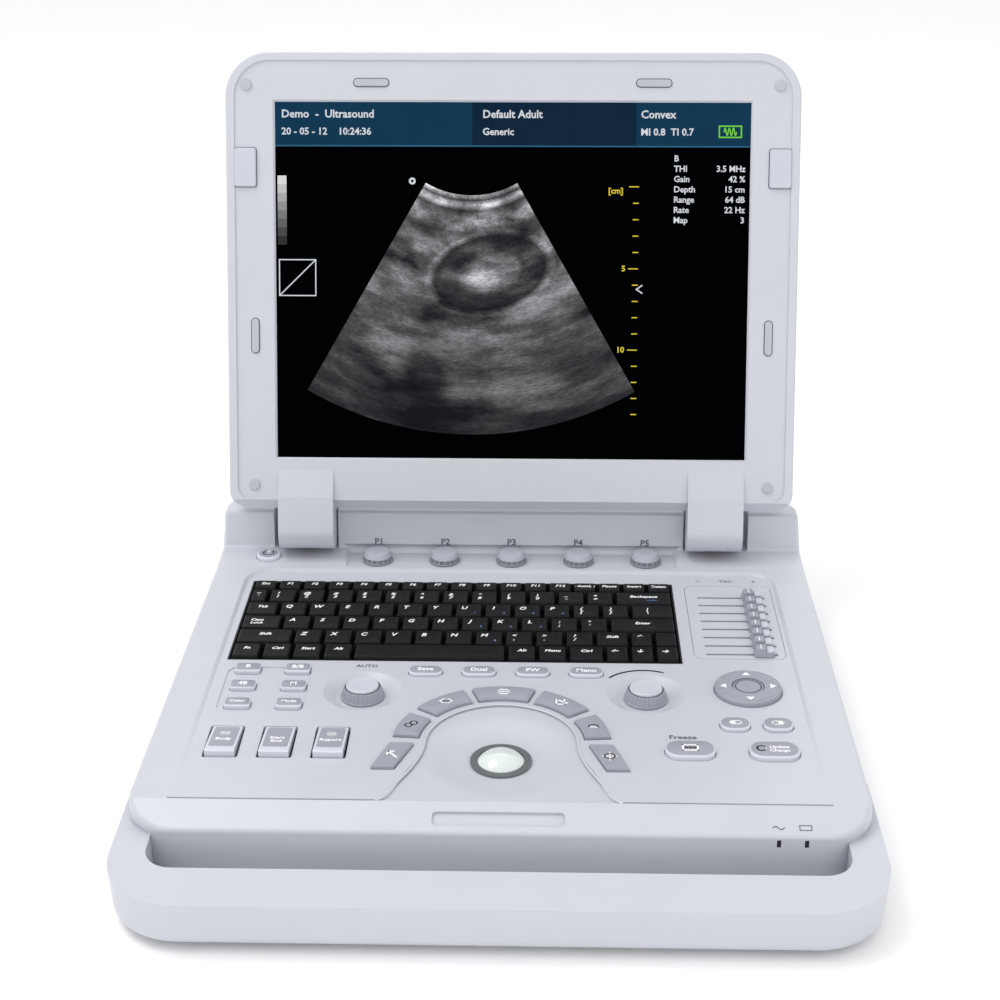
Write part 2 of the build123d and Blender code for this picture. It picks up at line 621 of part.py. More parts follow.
with BuildPart() as lid_back_cover:
    with BuildSketch(LID.offset(LID_RIM)):
        slab(LID_HALF_W, LID_BOTTOM, LID_TOP, 12, 28)
    extrude(amount=LID_BACK - LID_RIM)
    lid_depth = Axis(LID.origin, OUT_OF_LID)
    fillet(lid_back_cover.edges().group_by(lid_depth)[0], 9)
    fillet(lid_back_cover.edges().group_by(lid_depth)[-1], 1.2)
    # the foot of the lid: bevelled in front, and cut back behind to clear the hump
    with BuildSketch(LID_SIDE.offset(-LID_HALF_W - 1)):
        with BuildLine():
            Polyline(
                (BEZEL_BOTTOM, 3), (BEZEL_BOTTOM, 0), (LID_BOTTOM, -6), (-25, LID_BACK),
                (-25, -30), (-50, -30), (-50, 3), close=True,
            )
        make_face()
    extrude(amount=2 * LID_HALF_W + 2, mode=Mode.SUBTRACT)
    with BuildSketch(LID.offset(-19.0)):
        slab(BEZEL_HALF_W - 6, BEZEL_BOTTOM + 8, BEZEL_TOP - 6, BEZEL_R_FOOT - 3, BEZEL_R_TOP - 5)
    extrude(amount=25, mode=Mode.SUBTRACT)
    with BuildSketch(LID.offset(-BEZEL_T)):
        slab(BEZEL_HALF_W, BEZEL_BOTTOM, BEZEL_TOP, BEZEL_R_FOOT, BEZEL_R_TOP)
    extrude(amount=10, mode=Mode.SUBTRACT)
save(lid_back_cover, "lid_back_cover")

with BuildPart() as lid_bezel:
    with BuildSketch(LID.offset(-BEZEL_T)):
        slab(BEZEL_HALF_W, BEZEL_BOTTOM, BEZEL_TOP, BEZEL_R_FOOT, BEZEL_R_TOP)
        with Locations((0, SCREEN_H / 2)):
            Rectangle(SCREEN_W, SCREEN_H, mode=Mode.SUBTRACT)
    extrude(amount=BEZEL_T)
    window_edges = lid_bezel.faces().sort_by(lid_depth)[-1].inner_wires().edges()
    chamfer(window_edges, 1.2)
save(lid_bezel, "lid_bezel")

with BuildPart() as lcd_panel:
    with BuildSketch(LID.offset(-9)):
        with Locations((0, SCREEN_H / 2)):
            Rectangle(SCREEN_W + 14, SCREEN_H + 12)
    extrude(amount=9 - BEZEL_T)
save(lcd_panel, "lcd_panel")

BUMPERS = [(x, 238.5) for x in (-170, 170)] + [(x, -18) for x in (-167, 167)]
with BuildPart() as lid_buffers:
    with BuildSketch(LID):
        with Locations(*BUMPERS):
            Circle(3.6)
        with Locations((-90, 240), (90, 240)):
            SlotOverall(22, 4.6)
        with Locations((-165.5, 79), (165.5, 79)):
            SlotOverall(22, 4.6, rotation=90)
    extrude(amount=1.2)
    chamfer(lid_buffers.edges().group_by(lid_depth)[-1], 0.4)
save(lid_buffers, "lid_buffers")

with BuildPart() as lid_catches:
    with BuildSketch(LID):
        with Locations((-170.9, 186.5), (170.9, 186.5)):
            RectangleRounded(13.8, 24.5, 1.5)
    extrude(amount=2.4)
    chamfer(lid_catches.edges().group_by(lid_depth)[-1], 0.7)
save(lid_catches, "lid_catches")

# ---------------------------------------------------------------------------
# Hinges: a tongue on the lid turns on a pin held by a lug of the base
# ---------------------------------------------------------------------------
TONGUE_TOP, TONGUE_FRONT, TONGUE_REAR = -8.0, HINGE_W + BARREL_R, -17.0
SLOT_W, SKIN_T, SKIN_END = 12.0, 2.2, 163.0
lug_x = (TONGUE_IN + TONGUE_OUT) / 2


def polar_vw(radius, angle):
    """Point round the hinge axis in lid side coordinates; 90 degrees is straight out of the bezel."""
    return (
        HINGE_V + radius * cos(radians(angle)),
        HINGE_W + radius * sin(radians(angle)),
    )


with BuildPart() as hinge_covers:
    for side in (-1, 1):
        with BuildSketch(LID_SIDE.offset(side * lug_x)):
            with BuildLine():
                Polyline(
                    (TONGUE_TOP, 0),
                    (-26, TONGUE_FRONT),
                    (HINGE_V, TONGUE_FRONT),
                    (HINGE_V, TONGUE_REAR),
                    (-28.2, TONGUE_REAR),
                    (LID_BOTTOM - 0.1, -6.1),
                    (BEZEL_BOTTOM - 0.1, 0),
                    close=True,
                )
            make_face()
            with Locations((HINGE_V, HINGE_W)):
                Circle(BARREL_R)
        extrude(amount=(TONGUE_OUT - TONGUE_IN) / 2, both=True)
        # slot for the lug: only the front skin is left across it
        with BuildSketch(LID_SIDE.offset(side * lug_x)):
            with BuildLine():
                inner = TONGUE_FRONT - SKIN_T
                Line((-36, inner), (HINGE_V, inner))
                CenterArc((HINGE_V, HINGE_W), BARREL_R - SKIN_T, 90, SKIN_END - 90)
                Polyline(
                    polar_vw(BARREL_R - SKIN_T, SKIN_END), polar_vw(20, SKIN_END),
                    (-75, -30), (-36, -30), (-36, inner),
                )
            make_face()
        extrude(amount=SLOT_W / 2, both=True, mode=Mode.SUBTRACT)
        with BuildSketch(LID_SIDE.offset(side * lug_x)):
            with Locations((HINGE_V, HINGE_W)):
                Circle(PIN_R + 0.05)
        extrude(amount=30, both=True, mode=Mode.SUBTRACT)
save(hinge_covers, "hinge_covers")

with BuildPart() as hinge_pins:
    for side in (-1, 1):
        with BuildSketch(SIDE.offset(side * lug_x)):
            with Locations((HINGE_Y, HINGE_Z)):
                Circle(PIN_R)
        extrude(amount=16.5, both=True)
save(hinge_pins, "hinge_pins")

with BuildPart() as hinge_lugs:
    for side in (-1, 1):
        with BuildSketch(SIDE.offset(side * lug_x)):
            with Locations((HINGE_Y, HINGE_Z)):
                Circle(7)
            with Locations(((HINGE_Y + POCKET_REAR_Y) / 2, HINGE_Z)):
                Rectangle(POCKET_REAR_Y - HINGE_Y, 5)
            with Locations((POCKET_REAR_Y - 1.5, 15)):
                Rectangle(3, 20)
            with Locations((HINGE_Y, HINGE_Z)):
                Circle(PIN_R, mode=Mode.SUBTRACT)
        extrude(amount=LUG_T / 2, both=True)
        with BuildSketch(Plane.XZ.offset(-(PANEL_REAR_Y + POCKET_REAR_Y - 3))):
            with Locations((side * lug_x, KEY_TOP_Z + 15)):
                RectangleRounded(30, 20, 2)
        extrude(amount=-3)
save(hinge_lugs, "hinge_lugs")

# ---------------------------------------------------------------------------
# Inside and underneath
# ---------------------------------------------------------------------------
with BuildPart() as battery_cover:
    with BuildSketch(DECK.offset(BASE_Z)):
        with Locations((BAY_X, BAY_Y)):
            RectangleRounded(BAY_W - 0.6, BAY_D - 0.6, 5.7)
    extrude(amount=WALL)
    with BuildSketch(DECK.offset(BASE_Z)):
        with Locations((BAY_X - 60, BAY_Y)):
            with GridLocations(4, 1, 5, 1):
                SlotOverall(24, 1.6, rotation=90)
    extrude(amount=1, mode=Mode.SUBTRACT)
save(battery_cover, "battery_cover")

with BuildPart() as battery_pack:
    with BuildSketch(DECK.offset(BASE_Z + WALL)):
        with Locations((BAY_X, BAY_Y)):
            RectangleRounded(168, 84, 4)
    extrude(amount=16.5)
save(battery_pack, "battery_pack")

with BuildPart() as main_board:
    with BuildSketch(DECK.offset(BOARD_Z)):
        with Locations((0, -94)):
            Rectangle(320, 218)
        with Locations(*BOARD_POSTS):
            Circle(2, mode=Mode.SUBTRACT)
    extrude(amount=1.6)
    with BuildSketch(DECK.offset(BOARD_Z + 1.6)):
        with Locations((40, -60)):
            Rectangle(36, 36)
        with Locations((-60, -90), (-30, -90), (0, -90)):
            Rectangle(20, 26)
        with Locations((-90, 5)):
            Rectangle(60, 7)
    extrude(amount=2.6)
save(main_board, "main_board")

FAN_Z = BASE_Z + WALL
with BuildPart() as fan_frame:
    with BuildSketch(DECK.offset(FAN_Z)):
        with Locations((FAN_X, FAN_Y)):
            RectangleRounded(FAN_W, FAN_W, 3)
            Circle(18.6, mode=Mode.SUBTRACT)
    extrude(amount=11)
    with BuildSketch(DECK.offset(FAN_Z)):
        with Locations((FAN_X, FAN_Y)):
            Rectangle(38, 2.4)
            Rectangle(2.4, 38)
            Circle(6.5)
    extrude(amount=1.4)
    with BuildSketch(DECK.offset(FAN_Z)):
        with Locations((FAN_X, FAN_Y)):
            Circle(2)
    extrude(amount=8)
save(fan_frame, "fan_frame")

with BuildPart() as fan_rotor:
    with BuildSketch(DECK.offset(FAN_Z + 1.9)):
        with Locations((FAN_X, FAN_Y)):
            Circle(8)
            with PolarLocations(12, 9):
                Rectangle(11, 1.6, rotation=28)
            Circle(2.05, mode=Mode.SUBTRACT)
    extrude(amount=7.4)
save(fan_rotor, "fan_rotor")

WALL_Y = REAR_Y - 0.9  # outer face of the rear wall at the height of the connectors
SOCKET_DEPTH = 8.0
CONNECTOR_BACK = Plane(origin=DECK.origin + Vector(0, WALL_Y - 0.6, 0), x_dir=(-1, 0, 0), z_dir=(0, 1, 0))
with BuildPart() as probe_sockets:
    with BuildSketch(CONNECTOR_BACK):
        with Locations(*[(-x, IO_Z) for x in SOCKET_X]):
            RectangleRounded(SOCKET_W - 0.4, SOCKET_H - 0.4, 3.8)
    extrude(amount=-11)
    with BuildSketch(CONNECTOR_BACK):
        with Locations(*[(-x, IO_Z) for x in SOCKET_X]):
            RectangleRounded(54, 13, 2)
    extrude(amount=-SOCKET_DEPTH, mode=Mode.SUBTRACT)
    with BuildSketch(CONNECTOR_BACK):
        with Locations(*[(-x + dx, IO_Z) for x in SOCKET_X for dx in (-29.8, 29.8)]):
            Circle(1.6)
    extrude(amount=-3, mode=Mode.SUBTRACT)
save(probe_sockets, "probe_sockets")

with BuildPart() as io_panel:
    with BuildSketch(CONNECTOR_BACK):
        with Locations((-IO_X, IO_Z)):
            RectangleRounded(IO_W - 0.4, IO_H - 0.4, 2.8)
    extrude(amount=-4)
    with BuildSketch(CONNECTOR_BACK):
        with Locations((-IO_X - 46, IO_Z + 3.6), (-IO_X - 46, IO_Z - 5)):
            Rectangle(13, 5.4)
        with Locations((-IO_X - 26, IO_Z)):
            Rectangle(15, 12)
        with Locations((-IO_X + 3, IO_Z)):
            RectangleRounded(26, 10, 4)
        with Locations((-IO_X + 30, IO_Z)):
            Circle(4.6)
        with Locations((-IO_X + 45, IO_Z)):
            Circle(3.2)
    extrude(amount=-2.5, mode=Mode.SUBTRACT)
save(io_panel, "io_panel")

with BuildPart() as power_inlet:
    with BuildSketch(CONNECTOR_BACK):
        with Locations((-DC_X, IO_Z)):
            RectangleRounded(DC_W - 0.4, IO_H - 0.4, 2.8)
    extrude(amount=-11)
    with BuildSketch(CONNECTOR_BACK):
        with Locations((-DC_X, IO_Z)):
            Circle(4)
            Circle(1.2, mode=Mode.SUBTRACT)
    extrude(amount=-8, mode=Mode.SUBTRACT)
save(power_inlet, "power_inlet")

with BuildPart() as indicator_lenses:
    with BuildSketch(DECK.offset(SEAM_Z)):
        with Locations(*[(x, FRONT_Y + 2.8) for x in LAMPS_X]):
            Rectangle(LAMP_W - 0.2, 5)
    extrude(amount=-LAMP_H + 0.1)
save(indicator_lenses, "indicator_lenses")

with BuildPart() as rubber_feet:
    with BuildSketch(DECK.offset(BASE_Z - FOOT_H)):
        with Locations(*FEET):
            Circle(9)
    extrude(amount=FOOT_H)
    chamfer(rubber_feet.edges().group_by(Axis.Z)[0], 0.8)
save(rubber_feet, "rubber_feet")

with BuildPart() as casing_screws:
    with BuildSketch(DECK.offset(BASE_Z - 1.4)):
        with Locations(*SCREWS):
            Circle(3)
    extrude(amount=1.4)
    with BuildSketch(DECK.offset(BASE_Z - 1.4)):
        with Locations(*SCREWS):
            Rectangle(3.4, 0.8)
            Rectangle(0.8, 3.4)
    extrude(amount=0.8, mode=Mode.SUBTRACT)
    with BuildSketch(DECK.offset(BASE_Z)):
        with Locations(*SCREWS):
            Circle(1.55)
    extrude(amount=10)
save(casing_screws, "casing_screws")
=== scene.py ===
import math

import bmesh
import bpy
from mathutils import Matrix, Vector


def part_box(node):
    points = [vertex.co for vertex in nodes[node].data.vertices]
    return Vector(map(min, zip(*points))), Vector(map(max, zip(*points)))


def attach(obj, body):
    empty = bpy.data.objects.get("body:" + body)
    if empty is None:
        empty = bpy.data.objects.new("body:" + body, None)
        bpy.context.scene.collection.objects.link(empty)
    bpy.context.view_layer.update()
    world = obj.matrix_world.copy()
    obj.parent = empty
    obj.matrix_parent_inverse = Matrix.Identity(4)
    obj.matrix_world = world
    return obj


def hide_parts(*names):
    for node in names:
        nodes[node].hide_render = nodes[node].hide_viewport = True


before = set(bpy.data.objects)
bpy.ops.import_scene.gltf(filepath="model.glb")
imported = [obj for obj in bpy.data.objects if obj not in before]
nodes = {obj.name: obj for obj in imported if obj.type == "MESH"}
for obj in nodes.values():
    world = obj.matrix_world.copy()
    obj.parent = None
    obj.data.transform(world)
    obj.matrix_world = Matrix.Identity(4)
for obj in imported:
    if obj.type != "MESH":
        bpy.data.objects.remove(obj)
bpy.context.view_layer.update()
MM = 0.001
X, Y = Vector((1, 0, 0)), Vector((0, 1, 0))


# ---------------------------------------------------------------------------
# Faces of the object that pieces and printing are laid out on, in millimetres
# ---------------------------------------------------------------------------
class Face:
    """A flat place on the object, with its origin, its right and its up."""

    def __init__(self, origin, right, up):
        self.origin, self.right, self.up = origin, right, up
        self.normal = right.cross(up)

    def at(self, x, y, h=0.0):
        return self.origin + MM * (x * self.right + y * self.up + h * self.normal)


DECK = Face(Vector((0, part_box("control_panel")[1].y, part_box("key_row_3")[1].z)), X, Y)
TILT = math.radians(17.07)
UP_LID = Vector((0, math.sin(TILT), math.cos(TILT)))
LID = Face(DECK.at(0, 27.4, 66.9), X, UP_LID)


# ---------------------------------------------------------------------------
# Materials
# ---------------------------------------------------------------------------
def linear(r, g, b):
    """Linear colour from 0-255 sRGB values."""
    out = []
    for c in (r, g, b):
        c /= 255
        out.append(c / 12.92 if c <= 0.04045 else ((c + 0.055) / 1.055) ** 2.4)
    return (*out, 1)


def shade(colour, k):
    return (*[min(1, c * k) for c in colour[:3]], 1)


class Nodes:
    """Short hand for one material's node tree."""

    def __init__(self, name):
        self.mat = bpy.data.materials.new(name)
        self.mat.use_nodes = True
        self.tree = self.mat.node_tree
        self.bsdf = self.tree.nodes["Principled BSDF"]

    def add(self, kind, **values):
        node = self.tree.nodes.new(kind)
        for key, value in values.items():
            if key in node.inputs:
                node.inputs[key].default_value = value
            else:
                setattr(node, key, value)
        return node

    def link(self, a, b):
        self.tree.links.new(a, b)

    def where(self):
        return self.add("ShaderNodeTexCoord").outputs["Object"]

    def noise(self, scale, detail=3.0, roughness=0.5, coords=None):
        node = self.add("ShaderNodeTexNoise", Scale=scale, Detail=detail, Roughness=roughness)
        self.link(coords or self.where(), node.inputs["Vector"])
        return node.outputs["Fac"]

    def ramp(self, fac, *stops):
        node = self.add("ShaderNodeValToRGB")
        elements = node.color_ramp.elements
        while len(elements) < len(stops):
            elements.new(0.5)
        for element, (position, colour) in zip(elements, stops):
            element.position = position
            element.color = colour
        self.link(fac, node.inputs["Fac"])
        return node.outputs["Color"]

    def span(self, fac, low, high):
        node = self.add("ShaderNodeMapRange")
        node.inputs["To Min"].default_value = low
        node.inputs["To Max"].default_value = high
        self.link(fac, node.inputs["Value"])
        return node.outputs["Result"]

    def bump(self, fac, strength, distance):
        node = self.add("ShaderNodeBump", Strength=strength, Distance=distance)
        self.link(fac, node.inputs["Height"])
        self.link(node.outputs["Normal"], self.bsdf.inputs["Normal"])


def plastic(name, colour, rough=0.35, vary=0.03, grain=1800, relief=0.00004, coat=0.0):
    """Moulded plastic: faint flow marks in the colour, uneven gloss and a fine surface grain."""
    n = Nodes(name)
    broad = n.noise(28, 4)
    n.link(
        n.ramp(broad, (0.3, shade(colour, 1 - vary)), (0.7, shade(colour, 1 + vary))),
        n.bsdf.inputs["Base Color"],
    )
    n.link(n.span(n.noise(160, 5, 0.6), rough * 0.85, rough * 1.2), n.bsdf.inputs["Roughness"])
    n.bump(n.noise(grain, 2), 0.25, relief)
    n.bsdf.inputs["Coat Weight"].default_value = coat
    n.bsdf.inputs["Coat Roughness"].default_value = 0.12
    return n.mat


def metal(name, colour, rough=0.3):
    """Machined metal with fine turning marks."""
    n = Nodes(name)
    marks = n.noise(900, 6, 0.7)
    n.link(
        n.ramp(
            marks, (0.25, shade(colour, 0.8)), (0.75, shade(colour, 1.1)),
        ), n.bsdf.inputs["Base Color"],
    )
    n.link(n.span(marks, rough * 0.8, rough * 1.3), n.bsdf.inputs["Roughness"])
    n.bsdf.inputs["Metallic"].default_value = 1.0
    n.bump(marks, 0.2, 0.00003)
    return n.mat


BODY = linear(193, 195, 203)
white = plastic("body_plastic", BODY, 0.34, 0.012)
key_white = plastic("key_white_plastic", linear(204, 207, 216), 0.36, 0.015)
under_white = plastic("underside_plastic", linear(192, 194, 203), 0.5, 0.02, 1200, 0.00008)
grey = plastic("key_plastic", linear(152, 155, 165), 0.42, 0.025)
dark_grey = plastic("skirt_plastic", linear(132, 135, 144), 0.45, 0.03)
# grey for seams, and for the painted shadow line along the front crease
seam_and_shadow_grey = plastic("seam_and_shadow_plastic", linear(138, 141, 152), 0.5, 0.03)
knob_grey = plastic("knob_top_plastic", linear(172, 175, 185), 0.4, 0.02)
pale_grey = plastic("knob_plastic", linear(196, 199, 208), 0.36, 0.02)
buffer_rubber = plastic("buffer_rubber", linear(176, 178, 187), 0.6, 0.03, 2600, 0.00006)
catch_plastic = plastic("catch_plastic", linear(190, 193, 203), 0.3, 0.015)
black = plastic("keyboard_plastic", linear(10, 9, 12), 0.5, 0.08)
black.node_tree.nodes["Principled BSDF"].inputs["Specular IOR Level"].default_value = 0.22
gap_black = plastic("gap_plastic", linear(9, 9, 11), 0.7, 0.08)
black_rubber = plastic("foot_rubber", linear(32, 32, 34), 0.8, 0.08, 900, 0.0001)
socket_black = plastic("socket_plastic", linear(38, 39, 43), 0.5, 0.05)
ring_grey = plastic("ring_plastic", linear(100, 105, 107), 0.3, 0.04)
ball_resin = plastic("ball_resin", linear(214, 222, 219), 0.08, 0.02, 300, 0.000004, coat=1.0)
lens = plastic("lens_plastic", linear(22, 22, 26), 0.12, 0.1, 400, 0.00001, coat=0.6)
steel = metal("steel", linear(176, 178, 182))
dark_steel = metal("dark_steel", linear(70, 71, 75), 0.4)
board = plastic("circuit_board", linear(20, 92, 48), 0.4, 0.15, 700, 0.0001)
screen_black = plastic("screen_glass", linear(2, 2, 4), 0.3, 0.1, 300, 0.000004)
screen_black.node_tree.nodes["Principled BSDF"].inputs["Specular IOR Level"].default_value = 0.0
print_white = plastic("print_white", linear(250, 250, 252), 0.5, 0.02)
print_blue = plastic("print_blue", linear(96, 140, 205), 0.5, 0.03)
# grey for print, and for the painted shade outlines round the lid's pads and catches
print_and_shade_grey = plastic("print_and_shade_grey", linear(84, 86, 96), 0.5, 0.04)
print_dark = plastic("print_dark", linear(52, 53, 62), 0.5, 0.05)


def lit(name, colour, power, vary=0.1):
    """Part of the screen that gives its own light, slightly uneven over its area."""
    n = Nodes(name)
    fac = n.noise(60, 3)
    n.link(n.ramp(fac, (0.3, shade(colour, 1 - vary)), (0.7, colour)), n.bsdf.inputs["Emission Color"])
    n.link(n.span(fac, 0.35, 0.5), n.bsdf.inputs["Roughness"])
    n.bsdf.inputs["Base Color"].default_value = (0.001, 0.001, 0.002, 1)
    n.bsdf.inputs["Specular IOR Level"].default_value = 0.03
    n.bsdf.inputs["Emission Strength"].default_value = power
    return n.mat


lit_white = lit("lit_white", linear(225, 230, 238), 0.9)
lit_yellow = lit("lit_yellow", linear(235, 215, 60), 0.9)
lit_green = lit("lit_green", linear(120, 220, 70), 0.9)
lit_blue = lit("lit_blue", linear(13, 58, 86), 0.9)
lit_deep_blue = lit("lit_deep_blue", linear(8, 38, 60), 0.9)
lit_pale_blue = lit("lit_pale_blue", linear(52, 106, 136), 0.9)


def scan_picture():
    """The fan-shaped scan: layered tissue and a kidney in speckle, in the piece's own axes."""
    n = Nodes("scan_picture")
    split = n.add("ShaderNodeSeparateXYZ")
    n.link(n.where(), split.inputs["Vector"])

    def math_node(kind, a, b=None):
        node = n.add("ShaderNodeMath", operation=kind)
        for socket, value in zip(node.inputs, (a, b)):
            if isinstance(value, (int, float)):
                socket.default_value = value
            elif value is not None:
                n.link(value, socket)
        return node.outputs["Value"]

    across, down = split.outputs["X"], math_node("MULTIPLY", split.outputs["Y"], -1.0)
    depth = math_node(
        "SQRT", math_node(
            "ADD", math_node("MULTIPLY", across, across), math_node("MULTIPLY", down, down),
        ),
    )
    angle = math_node("ARCTAN2", across, down)
    polar = n.add("ShaderNodeCombineXYZ")
    n.link(math_node("MULTIPLY", angle, 0.05), polar.inputs["X"])
    n.link(depth, polar.inputs["Y"])
    speckle = n.noise(900, 2, 0.6, polar.outputs["Vector"])
    clouds = n.noise(42, 5, 0.6, polar.outputs["Vector"])

    def ellipse(x, y, wide, high, turn):
        mapping = n.add("ShaderNodeMapping", vector_type="TEXTURE")
        mapping.inputs["Location"].default_value = (x, y, 0)
        mapping.inputs["Rotation"].default_value = (0, 0, math.radians(turn))
        mapping.inputs["Scale"].default_value = (wide, high, 1)
        n.link(n.where(), mapping.inputs["Vector"])
        length = n.add("ShaderNodeVectorMath", operation="LENGTH")
        n.link(mapping.outputs["Vector"], length.inputs[0])
        return length.outputs["Value"]

    def grey_stops(*stops):
        return [(p, (v, v, v, 1)) for p, v in stops]

    layers = n.ramp(
        math_node("MULTIPLY", depth, 4.6),
        *grey_stops(
            (0.265, 0.5),
            (0.285, 0.04),
            (0.3, 0.42),
            (0.315, 0.05),
            (0.35, 0.28),
            (0.38, 0.06),
            (0.45, 0.12),
            (0.7, 0.08),
            (0.85, 0.05),
            (1.0, 0.02),
        ),
    )
    kidney = n.ramp(
        ellipse(0.012, -0.108, 0.044, 0.028, 14),
        *grey_stops((0.0, 3.0), (0.25, 2.2), (0.5, 0.5), (0.82, 0.25), (0.93, 1.7), (1.0, 1.0)),
    )
    shadow = n.ramp(ellipse(-0.03, -0.175, 0.02, 0.03, 10), *grey_stops((0.5, 0.25), (1.0, 1.0)))
    value = math_node("MULTIPLY", layers, kidney)
    value = math_node("MULTIPLY", value, shadow)
    value = math_node(
        "MULTIPLY",
        value,
        math_node(
            "MULTIPLY",
            n.span(speckle, 0.1, 2.1),
            n.ramp(
                clouds,
                (0.36, (0.12, 0.12, 0.12, 1)),
                (0.5, (0.9, 0.9, 0.9, 1)),
                (0.68, (3.4, 3.4, 3.4, 1)),
            ),
        ),
    )
    n.link(
        n.ramp(value, (0.0, (0.002, 0.002, 0.004, 1)), (1.0, (0.95, 0.96, 1, 1))),
        n.bsdf.inputs["Emission Color"],
    )
    n.bsdf.inputs["Base Color"].default_value = (0.001, 0.001, 0.002, 1)
    n.bsdf.inputs["Roughness"].default_value = 0.4
    n.bsdf.inputs["Specular IOR Level"].default_value = 0.03
    n.bsdf.inputs["Emission Strength"].default_value = 1.0
    return n.mat


LOOKS = {
    "bottom_casing": white, "carry_handle": white, "top_casing": white, "control_panel": white,
    "trackball_ring": ring_grey, "trackball_cup": gap_black, "trackball": ball_resin, "tgc_plate": white,
    "keyboard_tray": gap_black, "dpad": grey, "dpad_centre": grey, "paddle_keys": key_white,
    "power_button": key_white, "lid_back_cover": white, "lid_bezel": white, "lcd_panel": screen_black,
    "lid_buffers": buffer_rubber, "lid_catches": catch_plastic, "hinge_covers": white,
    "hinge_pins": steel, "hinge_lugs": dark_steel, "battery_cover": under_white, "battery_pack": black,
    "main_board": board, "fan_frame": socket_black, "fan_rotor": socket_black,
    "probe_sockets": socket_black, "io_panel": socket_black, "power_inlet": socket_black,
    "indicator_lenses": lens, "rubber_feet": black_rubber, "casing_screws": dark_steel,
    "mode_keys": key_white, "function_keys": key_white, "set_keys": key_white, "freeze_key": key_white,
    "update_key": key_white, "arc_keys": grey,
}
for name, node in nodes.items():
    node.data.materials.clear()
    node.data.materials.append(LOOKS.get(name, grey))


# ---------------------------------------------------------------------------
# Building pieces
# ---------------------------------------------------------------------------
def rounded(x, y, w, d, r, steps=4):
    """Rounded rectangle, as a function of how far it is inset."""

    def ring(inset):
        half_w, half_d, corner = w / 2 - inset, d / 2 - inset, max(r - inset, 0.12)
        points = []
        for quarter, (sx, sy) in enumerate(((1, 1), (-1, 1), (-1, -1), (1, -1))):
            for k in range(steps + 1):
                a = math.radians(90 * (quarter + k / steps))
                points.append(
                    (
                        x + sx * (half_w - corner) + corner * math.cos(a),
                        y + sy * (half_d - corner) + corner * math.sin(a),
                    )
                )
        return points

    return ring


def disc(x, y, r, steps=48, teeth=0, tooth=0.0):
    """Circle with optional finger notches, as a function of how far it is inset."""

    def ring(inset):
        points = []
        for k in range(steps):
            a = 2 * math.pi * k / steps
            cut = tooth if teeth and (k * teeth * 2 // steps) % 2 else 0.0
            points.append((x + (r - inset - cut) * math.cos(a), y + (r - inset - cut) * math.sin(a)))
        return points

    return ring


def arc_block(x, y, inner, outer, middle, width, steps=14):
    """Block of a ring between two radii, as a function of its inset."""

    def ring(inset):
        lean = math.radians(width / 2) - inset / ((inner + outer) / 2)
        mid = math.radians(middle)
        angles = [mid - lean + 2 * lean * k / steps for k in range(steps + 1)]
        near = [
            (x + (inner + inset) * math.cos(a), y + (inner + inset) * math.sin(a))
            for a in reversed(angles)
        ]
        far = [(x + (outer - inset) * math.cos(a), y + (outer - inset) * math.sin(a)) for a in angles]
        return far + near

    return ring


